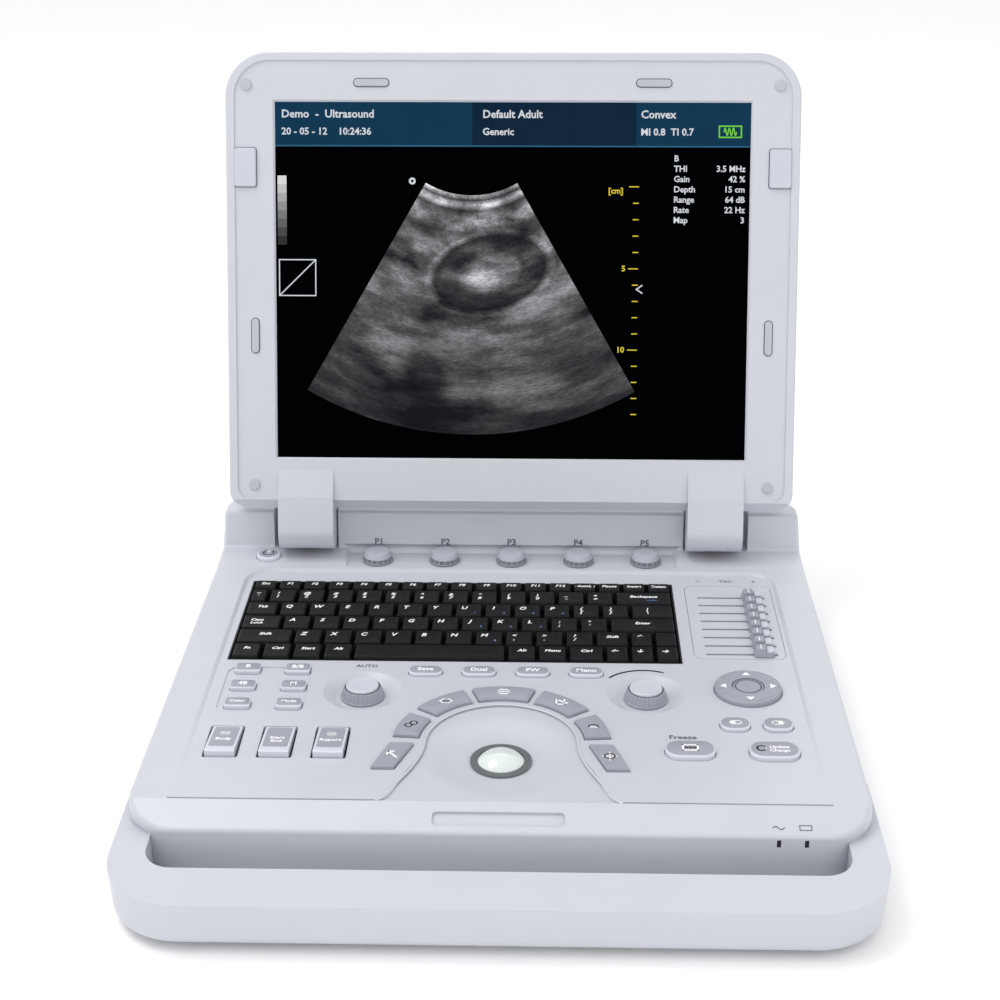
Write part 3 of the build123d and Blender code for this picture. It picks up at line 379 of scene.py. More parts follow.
class Shape:
    """One piece in the making: closed shapes on the object's faces, each in one of its looks."""

    def __init__(self, name, *looks):
        self.name, self.looks, self.bm = name, looks, bmesh.new()

    def skin(self, rings, look=0):
        rows = [[self.bm.verts.new(p) for p in ring] for ring in rings]
        faces = [self.bm.faces.new(rows[0][::-1]), self.bm.faces.new(rows[-1])]
        for low, high in zip(rows, rows[1:]):
            for i in range(len(low)):
                j = (i + 1) % len(low)
                faces.append(self.bm.faces.new((low[i], low[j], high[j], high[i])))
        for face in faces:
            face.material_index = look

    def stack(self, face, outline, levels, look=0):
        """Closed body through the outline at each (height, inset)."""
        self.skin([[face.at(px, py, h) for px, py in outline(inset)] for h, inset in levels], look)

    def stroke(self, face, points, width, look=0, h=0.0, thick=0.05):
        """Printed line through the points; also drawn as a painted shadow line along the front crease."""
        for (x0, y0), (x1, y1) in zip(points, points[1:]):
            length = math.hypot(x1 - x0, y1 - y0)
            if length < 1e-6:
                continue
            ax, ay = (x1 - x0) / length * width / 2, (y1 - y0) / length * width / 2
            corners = [
                (x0 - ax + ay, y0 - ay - ax), (x1 + ax + ay, y1 + ay - ax),
                (x1 + ax - ay, y1 + ay + ax), (x0 - ax - ay, y0 - ay + ax),
            ]
            self.skin([[face.at(px, py, h + k) for px, py in corners] for k in (0, thick)], look)

    def bead(self, face, points, section, look=0):
        """Strip along a path; the section gives (sideways, height) at each path point's y."""
        rings = []
        for k, (x, y) in enumerate(points):
            (x0, y0), (x1, y1) = points[max(k - 1, 0)], points[min(k + 1, len(points) - 1)]
            length = math.hypot(x1 - x0, y1 - y0)
            nx, ny = -(y1 - y0) / length, (x1 - x0) / length
            rings.append([face.at(x + a * nx, y + a * ny, h) for a, h in section(y)])
        self.skin(rings, look)

    def hoop(self, face, x, y, r, width, look=0, h=0.0, start=0, end=360, steps=28):
        angles = [math.radians(start + (end - start) * k / steps) for k in range(steps + 1)]
        self.stroke(face, [(x + r * math.cos(a), y + r * math.sin(a)) for a in angles], width, look, h)

    def words(self, face, text, x, y, size, look=0, h=0.0, slant=0.0, align="CENTER"):
        """Printed lettering, centred on a point in height."""
        curve = bpy.data.curves.new("words", "FONT")
        curve.body, curve.size, curve.shear = text, size * MM, slant
        curve.align_x, curve.align_y = align, "CENTER"
        curve.resolution_u, curve.extrude, curve.offset = 2, 0.02 * MM, 0.022 * size * MM
        holder = bpy.data.objects.new("words", curve)
        mesh = bpy.data.meshes.new_from_object(holder)
        placing = Matrix((face.right, face.up, face.normal)).transposed().to_4x4()
        placing.translation = face.at(x, y, h + 0.02)
        mesh.transform(placing)
        mesh.materials.clear()
        before = len(self.bm.faces)
        self.bm.from_mesh(mesh)
        self.bm.faces.ensure_lookup_table()
        for face_of_letter in self.bm.faces[before:]:
            face_of_letter.material_index = look
        bpy.data.objects.remove(holder)
        bpy.data.curves.remove(curve)
        bpy.data.meshes.remove(mesh)

    def place(self, body, *stood_for, smooth=34):
        mesh = bpy.data.meshes.new(self.name)
        bmesh.ops.recalc_face_normals(self.bm, faces=self.bm.faces)
        self.bm.to_mesh(mesh)
        self.bm.free()
        for look in self.looks:
            mesh.materials.append(look)
        mesh.shade_smooth()
        mesh.set_sharp_from_angle(angle=math.radians(smooth))
        obj = bpy.data.objects.new(self.name, mesh)
        bpy.context.scene.collection.objects.link(obj)
        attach(obj, body)
        if stood_for:
            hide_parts(*stood_for)
        return obj


def area(node):
    """Left, right, front and rear of a node, in deck millimetres."""
    low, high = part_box(node)
    return (
        (low.x - DECK.origin.x) / MM, (high.x - DECK.origin.x) / MM,
        (low.y - DECK.origin.y) / MM, (high.y - DECK.origin.y) / MM,
    )


def middle(node):
    x0, x1, y0, y1 = area(node)
    return (x0 + x1) / 2, (y0 + y1) / 2


# ---------------------------------------------------------------------------
# Keyboard
# ---------------------------------------------------------------------------
ROW_UNITS = 14.65  # width of a full row, in key pitches
ROWS = [
    (
        [ROW_UNITS / 17] * 17,
        ["Esc"] + [f"F{i}" for i in range(1, 13)] + ["NumLk", "Pause", "Insert", "Delete"],
    ),
    (
        [0.65] + [1] * 12 + [2],
        [
            "~\n`",
            "!\n1",
            "@\n2",
            "#\n3",
            "$\n4",
            "%\n5",
            "^\n6",
            "&\n7",
            "*\n8",
            "(\n9",
            ")\n0",
            "_\n-",
            "+\n=",
            "Backspace",
        ],
    ),
    ([1.15] + [1] * 12 + [1.5], ["Tab", *"QWERTYUIOP", "{\n[", "}\n]", "|\n\\"]),
    ([1.4] + [1] * 11 + [2.25], ["Caps\nLock", *"ASDFGHJKL", ":\n;", "\"\n'", "Enter"]),
    (
        [1.9] + [1] * 10 + [1.15, 0.8, 0.8],
        ["Shift", *"ZXCVBNM", "<\n,", ">\n.", "?\n/", "Shift", "\u2191", ""],
    ),
    (
        [1, 1, 1, 1, 5, 1, 1, 1.2] + [2.45 / 3] * 3,
        ["Fn", "Ctrl", "Start", "Alt", "", "Alt", "Menu", "Ctrl", "\u2190", "\u2193", "\u2192"],
    ),
]
KEYS_LEFT, KEYS_RIGHT = area("key_row_1")[0] - 0.5, area("key_row_1")[1] + 0.5
UNIT = (KEYS_RIGHT - KEYS_LEFT) / ROW_UNITS
for number, (units, legends) in enumerate(ROWS, 1):
    row_front, row_rear = area(f"key_row_{number}")[2:]
    depth, mid = row_rear - row_front, (row_rear + row_front) / 2
    row = Shape(f"key_caps_{number}", black, print_white, print_blue)
    left = KEYS_LEFT
    for unit, legend in zip(units, legends):
        width, x = unit * UNIT, left + unit * UNIT / 2
        left += width
        row.stack(
            DECK, rounded(x, mid, width - 1, depth, 0.8),
            [(-6.4, 0), (-1.2, 0.85), (-0.55, 1.15), (-0.2, 1.6), (-0.14, 2.1), (-0.36, 3.4)],
        )
        if not legend:
            continue
        if len(legend) == 1:
            size, lx, ly = 5.4, x - width / 2 + 6.0, mid + 2.2
        elif legend[0] == "C" and "\n" in legend:
            size, lx, ly = 3.9, x - 3, mid
        elif "\n" in legend:
            size, lx, ly = 4.5, x - min(width / 2 - 5.2, 3.2), mid + 0.2
        else:
            size = min(4.2, 1.75 * (width - 4.0) / max(len(legend), 2) + 0.6)
            lx, ly = x, mid + (0.6 if number == 1 else 1.8)
        row.words(DECK, legend, lx, ly, size, 1, -0.3, 0.22)
        if number == 2 and "\n" not in legend:
            row.stroke(DECK, [(x + 8, mid - 3), (x + 2, mid - 3)], 0.5, 2, -0.34)
        if number in (3, 4, 5) and len(legend) == 1 and legend in "UIOPJKLM":
            row.words(DECK, str("UIOPJKLM".index(legend) + 1), x + 3.6, mid - 4.2, 2.8, 2, -0.33, 0.22)
    row.place(f"key_row_{number}", f"key_row_{number}")

# ---------------------------------------------------------------------------
# Panel keys: grey plates on white bodies, with printed marks
# ---------------------------------------------------------------------------
def spots(node, across, along, w, d):
    """Centres of a grid of equal keys that fills a node."""
    x0, x1, y0, y1 = area(node)
    xs = [x0 + w / 2 + (x1 - x0 - w) * i / max(across - 1, 1) for i in range(across)]
    ys = [y1 - d / 2 - (y1 - y0 - d) * i / max(along - 1, 1) for i in range(along)]
    return [(x, y) for y in ys for x in xs]


def plate(shape, x, y, w, d, r, top, look=0):
    shape.stack(
        DECK, rounded(x, y + 0.5, w, d, r, 6), [
            (top - 0.4, 0), (top + 0.12, 0), (top + 0.26, 0.22),
        ], look,
    )


mode = Shape("mode_key_plates", grey, print_white)
marks = ["B", "B/B", "4B", "M", "Color", "Mode"]
for (x, y), mark in zip(spots("mode_keys", 2, 3, 14.6, 9.2), marks):
    plate(mode, x, y, 13.6, 7.8, 1.8, 0)
    mode.words(DECK, mark, x, y + 0.5, 5.0 if len(mark) < 4 else 3.7, 1, 0.28)
mode.place("mode_keys")

functions = Shape("function_key_plates", grey, print_white)
for (x, y), mark in zip(spots("function_keys", 4, 1, 19.6, 9.8), ["Save", "Dual", "PW", "Menu"]):
    plate(functions, x, y, 18.4, 8.2, 4.0, 0)
    functions.words(DECK, mark, x, y + 0.5, 5.2, 1, 0.28)
functions.place("function_keys")

sets = Shape("set_key_plates", grey, print_white)
for x, y in spots("set_keys", 2, 1, 16.4, 12.8):
    plate(sets, x, y, 15.2, 11.0, 5.2, 0)
    side = 1 if x < middle("set_keys")[0] else -1
    sets.stroke(
        DECK,
        [
            (x - 3.2, y - 1.2),
            (x - 3.2, y + 2.2),
            (x + 3.2, y + 2.2),
            (x + 3.2, y - 1.2),
            (x - 3.2, y - 1.2),
        ],
        0.6,
        1,
        0.28,
    )
    sets.stack(DECK, rounded(x - side * 1.6, y + 0.5, 3.2, 3.2, 0.3), [(0.26, 0), (0.33, 0)], 1)
sets.place("set_keys")

freeze = Shape("freeze_key_plate", grey, print_white)
x, y = middle("freeze_key")
plate(freeze, x, y, 25.4, 14.4, 6.8, 0.6)
freeze.stroke(
    DECK,
    [(x - 4, y - 2.2), (x - 4, y + 3.2), (x + 4, y + 3.2), (x + 4, y - 2.2), (x - 4, y - 2.2)],
    1.0,
    1,
    0.88,
)
for k in (-1, 0, 1):
    freeze.hoop(DECK, x + 2.3 * k, y + 0.5, 0.7, 0.7, 1, 0.88)
freeze.place("freeze_key")

update = Shape("update_key_plate", grey, print_white)
x, y = middle("update_key")
plate(update, x, y, 25.4, 14.4, 6.8, 0.6)
update.hoop(DECK, x - 7, y + 0.6, 2.4, 1.0, 1, 0.88, 30, 330)
update.words(DECK, "Update", x + 2.6, y + 2.1, 3.6, 1, 0.88)
update.words(DECK, "Change", x + 2.6, y - 1.5, 3.6, 1, 0.88)
update.place("update_key")

ARC_IN, ARC_OUT = 45.5, 59.5
ARC_Y = area("arc_keys")[3] - ARC_OUT
arc = Shape("arc_key_plates", grey, print_white, key_white)
for centre, width in ((0, 35), (38, 31), (-38, 31), (73, 24), (-73, 24)):
    arc.stack(
        DECK,
        arc_block(0, ARC_Y, ARC_IN + 1.2, ARC_OUT - 1.2, 90 - centre, width - 2.4),
        [(-0.3, 0), (0.1, 0), (0.24, 0.25)],
    )
    a = math.radians(90 - centre)
    x, y = 52.5 * math.cos(a), ARC_Y + 52.5 * math.sin(a)
    if centre == 0:
        arc.stroke(
            DECK,
            [(x - 3, y - 2.6), (x - 3, y + 2.4), (x + 3, y + 2.4), (x + 3, y - 2.6), (x - 3, y - 2.6)],
            0.85,
            1,
            0.26,
        )
        arc.stroke(DECK, [(x - 3, y), (x + 3, y)], 0.85, 1, 0.26)
    elif centre == 38:
        arc.stroke(
            DECK,
            [(x - 2.4, y + 2.6), (x - 2.4, y - 2.6), (x + 2.2, y - 2.6), (x + 2.2, y + 2.6)],
            0.85,
            1,
            0.26,
        )
        arc.stroke(DECK, [(x - 0.8, y + 1.6), (x + 3.6, y - 1.2)], 1.1, 1, 0.26)
    elif centre == -38:
        arc.stroke(
            DECK,
            [
                (x - 3.2, y - 2),
                (x - 3.2, y + 1.6),
                (x + 3.2, y + 1.6),
                (x + 3.2, y - 2),
                (x - 3.2, y - 2),
            ],
            0.85,
            1,
            0.26,
        )
        arc.hoop(DECK, x, y - 0.2, 1.3, 0.8, 1, 0.26)
    elif centre == 73:
        arc.hoop(DECK, x, y - 1.2, 2.6, 0.85, 1, 0.26, 0, 180)
        arc.stroke(DECK, [(x - 2.6, y - 1.2), (x + 2.6, y - 1.2)], 0.85, 1, 0.26)
    else:
        for k in (-1, 1):
            arc.hoop(DECK, x + 1.4 * k, y + 1.2 * k, 1.9, 0.8, 1, 0.26)
for side in (1, -1):
    centre_x, centre_y = side * 58.3, area("arc_keys")[2] + 12.3
    if side > 0:
        arc.hoop(DECK, centre_x, centre_y, 2.7, 0.85, 1, 0.06)
        arc.stroke(DECK, [(centre_x - 4, centre_y), (centre_x + 4, centre_y)], 0.7, 1, 0.06)
        arc.stroke(DECK, [(centre_x, centre_y - 4), (centre_x, centre_y + 4)], 0.7, 1, 0.06)
    else:
        arc.stroke(
            DECK, [(centre_x + 2.5, centre_y - 3.2), (centre_x - 2.2, centre_y + 2.6)], 1.1, 1, 0.06,
        )
        arc.stroke(
            DECK,
            [
                (centre_x + 0.6, centre_y + 2.6),
                (centre_x - 2.2, centre_y + 2.6),
                (centre_x - 2.6, centre_y - 0.2),
            ],
            1.1,
            1,
            0.06,
        )
arc.place("arc_keys")

# paddles: grey plates laid on their slopes
paddle_x0, paddle_x1, _, paddle_rear = area("paddle_keys")
SLOPE = math.atan2(3.4, 29.6)
paddle_plates = Shape("paddle_plates", grey, print_white)
for i, mark in enumerate(["Body", "Start\nEnd", "Report"]):
    x = paddle_x0 + 8.1 + i * (paddle_x1 - paddle_x0 - 16.2) / 2
    top = Face(DECK.at(x, paddle_rear, -1.8), X, Vector((0, math.cos(SLOPE), -math.sin(SLOPE))))
    paddle_plates.stack(top, rounded(0, -13.6, 13.6, 24.6, 1.4), [(-0.3, 0), (0.12, 0), (0.3, 0.25)])
    paddle_plates.words(top, mark, 0, -17.0, 4.2, 1, 0.32)
    if i != 1:
        paddle_plates.hoop(top, 0, -9.5, 2.4, 0.8, 1, 0.31)
        paddle_plates.stroke(top, [(-1.4, -9.5), (1.4, -9.5)], 0.9, 1, 0.31)
paddle_plates.place("paddle_keys")

# direction pad: four arrows, and a ring on its centre
x, y = middle("dpad")
pad = Shape("dpad_marks", print_white, key_white)
for quarter in range(4):
    a = math.pi / 2 * quarter
    ux, uy = math.cos(a), math.sin(a)
    tip, back = 16.0, 12.6
    corners = [
        (x + ux * tip, y + uy * tip),
        (x + ux * back - uy * 2.4, y + uy * back + ux * 2.4),
        (x + ux * back + uy * 2.4, y + uy * back - ux * 2.4),
    ]
    pad.skin([[DECK.at(px, py, h) for px, py in corners] for h in (1.2, 1.26)])
pad.hoop(DECK, x, y, 17.5, 0.9, 1, 1.2, steps=56)
pad.place("dpad")
centre_mark = Shape("dpad_centre_marks", seam_and_shadow_grey)
centre_mark.hoop(DECK, x, y, 7.4, 0.8, 0, 0.88, steps=40)
centre_mark.place("dpad_centre")

# ---------------------------------------------------------------------------
# Turning knobs and sliders
# ---------------------------------------------------------------------------
for i in range(1, 6):
    x, y = middle(f"knob_p{i}")
    low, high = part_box(f"knob_p{i}")
    top = (high.z - DECK.origin.z) / MM
    knob = Shape(f"knob_cap_{i}", dark_grey, knob_grey, dark_grey)
    knob.stack(
        DECK,
        disc(x, y, 10.0, 64),
        [(top - 16.8, 7.0), (top - 6.9, 7.0), (top - 6.9, 0), (top - 6.1, 0), (top - 5.8, 0.4)],
        0,
    )
    knob.stack(DECK, disc(x, y, 9.6, 128, 16, 0.9), [(top - 5.85, 0), (top - 3.4, 0.6)], 2)
    knob.stack(
        DECK,
        disc(x, y, 9.1, 64),
        [(top - 3.45, 0), (top - 0.8, 1.0), (top - 0.3, 1.3), (top - 0.02, 1.9), (top - 0.02, 4.5)],
        1,
    )
    knob.place(f"knob_p{i}", f"knob_p{i}")

for side in ("left", "right"):
    node = f"encoder_{side}"
    x, y = middle(node)
    top = (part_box(node)[1].z - DECK.origin.z) / MM
    encoder = Shape(f"encoder_cap_{side}", grey, grey, pale_grey, dark_grey)
    encoder.stack(
        DECK,
        disc(x, y, 12.6, 64),
        [(top - 19.8, 9.6), (top - 8.0, 9.6), (top - 8.0, 0), (top - 7.0, 0), (top - 6.7, 0.4)],
        1,
    )
    encoder.stack(
        DECK, disc(x, y, 12.3, 168, 28, 0.4), [(top - 6.75, 0), (top - 2.0, 1.5), (top - 1.5, 2.3)], 0,
    )
    encoder.stack(
        DECK,
        disc(x, y, 9.4, 64),
        [
            (top - 1.6, 0),
            (top - 0.5, 0.15),
            (top - 0.1, 0.6),
            (top - 0.05, 1.2),
            (top - 0.35, 2.4),
            (top - 0.4, 5),
        ],
        2,
    )
    encoder.hoop(DECK, x, y, 9.75, 0.8, 3, top - 1.5, steps=48)
    encoder.place(node, node)

for i in range(1, 9):
    node = f"tgc_slider_{i}"
    x, y = middle(node)
    low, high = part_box(node)
    top, foot = (high.z - DECK.origin.z) / MM, (low.z - DECK.origin.z) / MM
    slider = Shape(f"slider_cap_{i}", grey, pale_grey, print_white)
    slider.stack(DECK, rounded(x, y, 3, 1.2, 0.1), [(foot + 0.1, 0), (top - 5.0, 0)])
    slider.stack(
        DECK, rounded(x, y, 12.4, 8.4, 1.8), [(top - 5.3, 0), (top - 2.6, 0.5), (top - 2.2, 0.9)],
    )
    slider.stack(
        DECK, rounded(x - 2.2, y, 6.6, 7.0, 1.2), [(top - 2.3, 0), (top - 0.5, 0.35), (top - 0.1, 0.9)],
    )
    slider.stack(
        DECK, rounded(x + 3.4, y, 4.4, 7.0, 1.2), [(top - 2.3, 0), (top - 1.5, 0.3), (top - 1.3, 0.8)], 1,
    )
    slider.stroke(DECK, [(x - 2.2, y - 2.4), (x - 2.2, y + 2.4)], 0.5, 2, top - 0.1, 0.05)
    slider.place(node, node)

# ---------------------------------------------------------------------------
# Printing on the casings
# ---------------------------------------------------------------------------
panel_h = (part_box("control_panel")[1].z - DECK.origin.z) / MM
prints = Shape("panel_print", print_and_shade_grey, print_dark)
tgc_left, tgc_right, _, tgc_rear = area("tgc_plate")
for text, at, size in (("\u2212", 0.17, 5.0), ("TGC", 0.5, 4.2), ("+", 0.83, 5.0)):
    prints.words(
        DECK, text, tgc_left + at * (tgc_right - tgc_left), tgc_rear + 7.0, size, 0, panel_h + 0.02,
    )
enc_x, enc_y = middle("encoder_left")
prints.words(DECK, "AUTO", enc_x, enc_y + 29.0, 4.6, 0, panel_h + 0.02)
enc_x, enc_y = middle("encoder_right")
prints.hoop(DECK, enc_x, enc_y, 27.0, 1.3, 0, panel_h + 0.02, 66, 138, 24)
fx, fy = middle("freeze_key")
prints.words(DECK, "Freeze", fx - 3, fy + 15.6, 5.6, 0, panel_h + 0.02)
prints.place("base")

# the step round the control panel, the rim of the trackball dish, and a painted shadow line along the
# front crease
panel_x0, panel_x1, panel_y0, panel_y1 = area("control_panel")
trim = Shape("panel_trim", white, seam_and_shadow_grey)
corner = 18.0
path = [(panel_x0 - 0.3, panel_y0 + 3 + (panel_y1 - corner - panel_y0 - 3) * k / 12) for k in range(12)]
path += [
    (
        side * (panel_x1 - corner + (corner + 0.3) * math.sin(a)),
        panel_y1 - corner + (corner + 0.3) * math.cos(a),
    )
    for side, turn in ((-1, range(9, -1, -1)), (1, range(10)))
    for a in [math.radians(10 * k) for k in turn]
]
path += [(-px, py) for px, py in reversed(path[:12])]
trim.bead(
    DECK, path,
    lambda y: [
        (0.4, -2.4),
        (0.4, -2.0 * min(1, (2 - y) / 273) + 0.06),
        (-0.2, -2.0 * min(1, (2 - y) / 273) + 0.03),
        (-2.0, panel_h + 0.03),
        (-2.0, -2.4),
    ],
)
crease_y = panel_y0 + 0.4
dish_r = ARC_IN - 3.5
flank = []
for k in range(25):
    t = k % 12 / 12 if k < 24 else 1.0
    p0, p1, m0, m1 = (
        ((dish_r, ARC_Y), (dish_r + 11, ARC_Y - 38), (0, -40), (15, -30)) if k < 12
        else ((dish_r + 11, ARC_Y - 38), (64.0, crease_y), (8, -16), (20, -7))
    )
    a, b, c, d = 2 * t**3 - 3 * t**2 + 1, t**3 - 2 * t**2 + t, -2 * t**3 + 3 * t**2, t**3 - t**2
    flank.append(
        (a * p0[0] + b * m0[0] + c * p1[0] + d * m1[0], a * p0[1] + b * m0[1] + c * p1[1] + d * m1[1])
    )
arch = [
    (dish_r * math.cos(math.radians(6 * k)), ARC_Y + dish_r * math.sin(math.radians(6 * k)))
    for k in range(1, 30)
]
rim = flank[::-1] + arch + [(-px, py) for px, py in flank]
trim.bead(
    DECK,
    rim,
    lambda y: [
        (0.9, panel_h - 0.2),
        (0.9, panel_h + 0.03),
        (0.45, panel_h + 0.36),
        (-0.2, panel_h + 0.36),
        (-1.5, panel_h - 0.9),
        (-1.5, panel_h - 1.2),
    ],
)
# painted shadow: a grey line along the front crease, standing for the shade on the panel's front step
for side in (1, -1):
    trim.stroke(DECK, [(side * 64, crease_y), (side * 171, crease_y)], 1.0, 1, panel_h + 0.02)
trim.place("base")

# lamp signs on the lip
LIP = Face(DECK.at(0, panel_y0, -2.0), X, Vector((0, 18.0, 8.5)).normalized())
signs = Shape("lamp_signs", print_and_shade_grey)
signs.stroke(
    LIP, [(139.4 + 5.8 * k / 12, -13.6 + 0.9 * math.sin(k * 0.55)) for k in range(13)], 0.45, 0, 0.05,
)
signs.stroke(
    LIP, [(153.0, -14.8), (159.0, -14.8), (159.0, -12.0), (153.0, -12.0), (153.0, -14.8)], 0.45, 0, 0.05,
)
signs.place("base")

# painted shade: dark outlines round the lid's pads and catches, standing for the shadow at their edges
shade_outlines = Shape("pad_shade_outlines", print_and_shade_grey)
for side in (1, -1):
    shade_outlines.stack(LID, rounded(side * 90, 240, 23.2, 5.8, 2.8), [(-0.2, 0), (0.12, 0)])
    shade_outlines.stack(LID, rounded(side * 165.5, 79, 5.8, 23.2, 2.8), [(-0.2, 0), (0.12, 0)])
    shade_outlines.stack(LID, rounded(side * 170.9, 186.5, 14.8, 25.5, 1.9), [(-0.2, 0), (0.12, 0)])
shade_outlines.place("lid")

HUMP_FACE = Face(DECK.at(0, 28.3, 2.2), X, Vector((0, 2.7, 24.8)).normalized())
knob_print = Shape("knob_print", print_and_shade_grey)
for i in range(1, 6):
    knob_print.words(HUMP_FACE, f"P{i}", middle(f"knob_p{i}")[0], 4.4, 6.0, 0, 0.3)
knob_print.place("base")

x, y = middle("power_button")
power_h = (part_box("power_button")[1].z - DECK.origin.z) / MM
power = Shape("power_mark", print_white, grey)
power.stack(DECK, disc(x, y, 6.2), [(power_h - 0.3, 0), (power_h + 0.08, 0), (power_h + 0.16, 0.2)], 1)
power.hoop(DECK, x, y, 3.3, 0.9, 0, power_h + 0.16, 120, 420)
power.stroke(DECK, [(x, y + 0.8), (x, y + 4.8)], 0.9, 0, power_h + 0.16)
power.place("power_button")

# ---------------------------------------------------------------------------
# Picture on the screen
# ---------------------------------------------------------------------------
SCREEN_W, SCREEN_H = 304.1, 228.1
HEADER_FOOT = 200  # lower edge of the header, up the screen
SPLIT_LEFT, SPLIT_RIGHT = -25.6, 79.2  # where the header is divided
glass = max((v.co - LID.origin).dot(LID.normal) for v in nodes["lcd_panel"].data.vertices) / MM + 0.05
head = Shape("screen_header", lit_blue, lit_deep_blue, lit_pale_blue, lit_white, lit_green)
half = SCREEN_W / 2
for x0, x1, look in ((-half, SPLIT_LEFT, 0), (SPLIT_LEFT, SPLIT_RIGHT, 1), (SPLIT_RIGHT, half, 0)):
    head.stack(
        LID,
        lambda inset,
        a=x0,
        b=x1: [(a, HEADER_FOOT), (b, HEADER_FOOT), (b, SCREEN_H), (a, SCREEN_H)],
        [(glass, 0), (glass + 0.05, 0)],
        look,
    )
    head.stroke(LID, [(x0 + 0.6, HEADER_FOOT + 0.6), (x1 - 0.6, HEADER_FOOT + 0.6)], 0.8, 2, glass + 0.06)
head.words(LID, "Demo  -  Ultrasound", -148, 220.5, 7.0, 3, glass + 0.08, align="LEFT")
head.words(LID, "20 - 05 - 12    10:24:36", -148, 209.5, 6.2, 3, glass + 0.08, align="LEFT")
head.words(LID, "Default Adult", -19, 220.5, 7.0, 3, glass + 0.08, align="LEFT")
head.words(LID, "Generic", -19, 209.5, 6.2, 3, glass + 0.08, align="LEFT")
head.words(LID, "Convex", 82, 220.5, 7.0, 3, glass + 0.08, align="LEFT")
head.words(LID, "MI 0.8  TI 0.7", 82, 209.5, 6.2, 3, glass + 0.08, align="LEFT")
head.stroke(
    LID, [(132, 206.5), (146, 206.5), (146, 213.5), (132, 213.5), (132, 206.5)], 0.9, 4, glass + 0.08,
)
head.stroke(
    LID, [(135 + 2.6 * k / 10, 210 + 2.2 * math.sin(k * 0.62)) for k in range(31)], 0.8, 4, glass + 0.08,
)
head.place("lid")

bar = [lit(f"lit_bar_{k}", linear(*[235 - 26 * k] * 3), 0.85, 0.02) for k in range(8)]
marks = Shape("screen_marks", lit_white, lit_yellow, *bar)
for k in range(8):
    low, high = 176.1 - 5.5 * k, 181.6 - 5.5 * k
    marks.stack(
        LID, lambda inset, a=low, b=high: [(-150.8, a), (-145, a), (-145, b), (-150.8, b)],
        [(glass, 0), (glass + 0.05, 0)], 2 + k,
    )
marks.stroke(
    LID, [(-150, 105), (-126.5, 105), (-126.5, 128), (-150, 128), (-150, 105)], 0.7, 0, glass + 0.02,
)
marks.stroke(LID, [(-150, 105), (-126.5, 128)], 0.7, 0, glass + 0.02)
marks.hoop(LID, -64, 178.4, 1.5, 1.2, 0, glass + 0.02)
for k in range(15):
    v = 175.2 - 10.42 * k
    marks.stroke(LID, [(78 if k % 5 else 75.4, v), (81, v)], 0.7, 1, glass + 0.02)
for text, x, v in (("[cm]", 66.5, 172.5), ("5", 72, 123.1), ("10", 70.5, 71.0)):
    marks.words(LID, text, x, v, 5.2, 1, glass + 0.02)
marks.stroke(LID, [(84, 112.4), (80.5, 110), (84, 107.6)], 0.8, 0, glass + 0.02)
settings = [
    ("B", ""),
    ("THI", "3.5 MHz"),
    ("Gain", "42 %"),
    ("Depth", "15 cm"),
    ("Range", "64 dB"),
    ("Rate", "22 Hz"),
    ("Map", "3"),
]
for k, (label, value) in enumerate(settings):
    marks.words(LID, label, 103.5, 193 - 6.5 * k, 5.4, 0, glass + 0.02, align="LEFT")
    if value:
        marks.words(LID, value, 149, 193 - 6.5 * k, 5.4, 0, glass + 0.02, align="RIGHT")
marks.place("lid")

APEX = (-26.0, SCREEN_H)
scan = Shape("screen_scan", scan_picture())
flat = Face(Vector((0, 0, 0)), X, Y)
scan.stack(flat, arc_block(0, 0, 58.7, 212.5, -90, 60, 40), [(0, 0), (0.04, 0)])
mesh = bpy.data.meshes.new("screen_scan")
scan.bm.to_mesh(mesh)
scan.bm.free()
mesh.materials.append(scan.looks[0])
scan_piece = bpy.data.objects.new("screen_scan", mesh)
bpy.context.scene.collection.objects.link(scan_piece)
placing = Matrix((LID.right, LID.up, LID.normal)).transposed().to_4x4()
placing.translation = LID.at(APEX[0], APEX[1], glass)
scan_piece.matrix_world = placing
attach(scan_piece, "lid")

# ---------------------------------------------------------------------------
# Studio
# ---------------------------------------------------------------------------
def look_rotation(yaw, pitch, roll):
    """Rotation of a camera that looks along +Y before it is turned, in degrees."""
    yaw, pitch, roll = (math.radians(a) for a in (yaw, pitch, roll))
    ahead = Vector((math.sin(yaw) * math.cos(pitch), math.cos(yaw) * math.cos(pitch), math.sin(pitch)))
    level = Vector((math.cos(yaw), -math.sin(yaw), 0))
    over = level.cross(ahead)
    right = level * math.cos(roll) + over * math.sin(roll)
    up = over * math.cos(roll) - level * math.sin(roll)
    return Matrix((right, up, -ahead)).transposed()


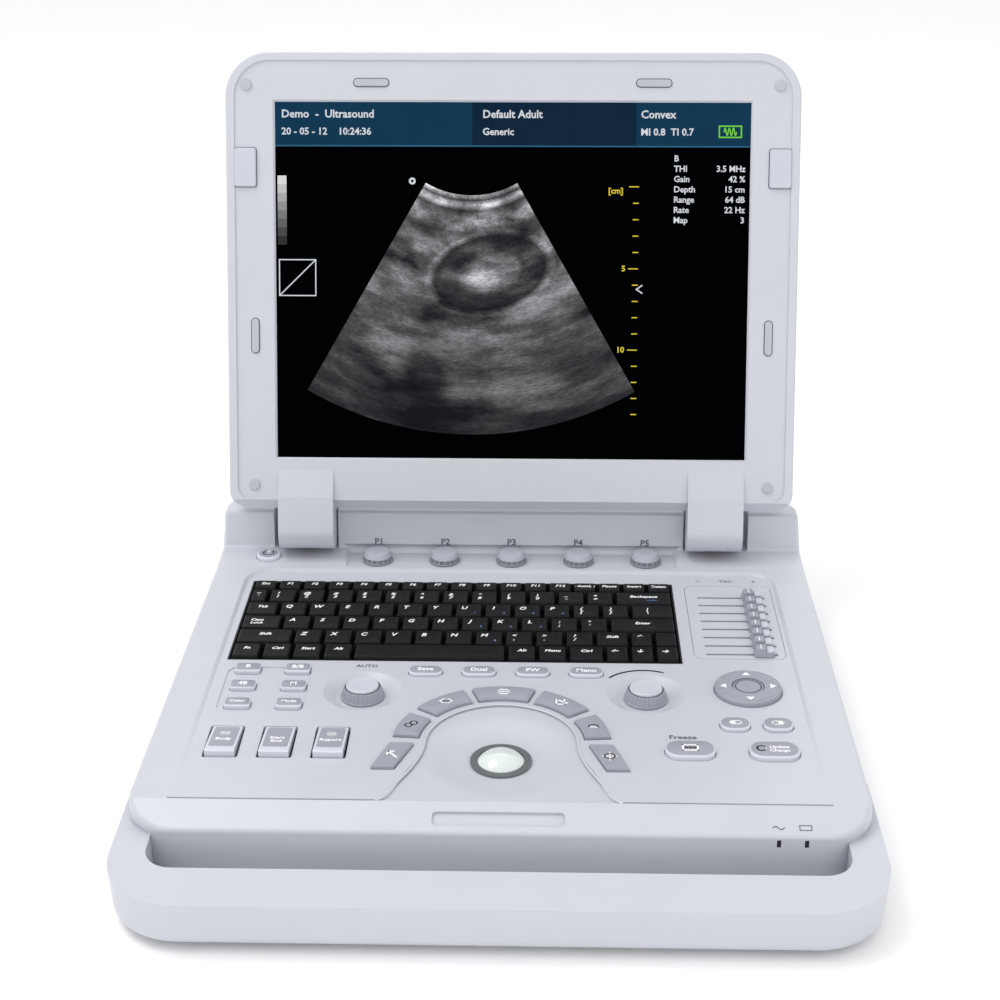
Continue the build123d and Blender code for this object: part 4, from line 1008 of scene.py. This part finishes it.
CAMERA_PLACE = (0.0220, -0.94942, 0.55437)
CAMERA_YAW, CAMERA_PITCH, CAMERA_ROLL = -1.52, -23.39, -0.16
LENS_MM, SENSOR_MM = 64.81, 36.0

camera_data = bpy.data.cameras.new("camera")
camera_data.lens, camera_data.sensor_width = LENS_MM, SENSOR_MM
camera_data.clip_start, camera_data.clip_end = 0.05, 30
camera = bpy.data.objects.new("camera", camera_data)
bpy.context.scene.collection.objects.link(camera)
camera_turn = look_rotation(CAMERA_YAW, CAMERA_PITCH, CAMERA_ROLL)
camera.matrix_world = Matrix.Translation(CAMERA_PLACE) @ camera_turn.to_4x4()
bpy.context.scene.camera = camera


def area_light(name, place, target, size, power, colour=(1, 1, 1)):
    data = bpy.data.lights.new(name, "AREA")
    data.shape, data.size, data.energy, data.color = "SQUARE", size, power, colour
    lamp = bpy.data.objects.new(name, data)
    bpy.context.scene.collection.objects.link(lamp)
    lamp.location = place
    lamp.rotation_euler = (Vector(target) - Vector(place)).to_track_quat("-Z", "Y").to_euler()


area_light("key_light", (-0.9, -0.05, 1.9), (0, -0.05, 0.05), 1.0, 14)
area_light("fill_light", (0.4, -1.8, 0.35), (0, 0.1, 0.08), 1.2, 5)
area_light("back_light", (0.2, 1.6, 1.5), (0, 0.1, 0.15), 1.4, 4)

world = bpy.data.worlds.new("studio")
bpy.context.scene.world = world
world.use_nodes = True
world.node_tree.nodes["Background"].inputs["Color"].default_value = (1, 1, 1, 1)
world.node_tree.nodes["Background"].inputs["Strength"].default_value = 0.97
bpy.context.scene.view_settings.view_transform = "Standard"

floor_mat = Nodes("floor_paper")
floor_mat.link(
    floor_mat.ramp(floor_mat.noise(6, 3), (0.3, (0.97, 0.97, 0.97, 1)), (0.7, (0.985, 0.985, 0.985, 1))),
    floor_mat.bsdf.inputs["Base Color"],
)
floor_mat.bsdf.inputs["Roughness"].default_value = 0.7
bpy.ops.mesh.primitive_plane_add(size=12, location=(0, 0, -0.0004))
floor = bpy.context.object
floor.name = "floor"
floor.data.materials.append(floor_mat.mat)

bpy.context.view_layer.update()
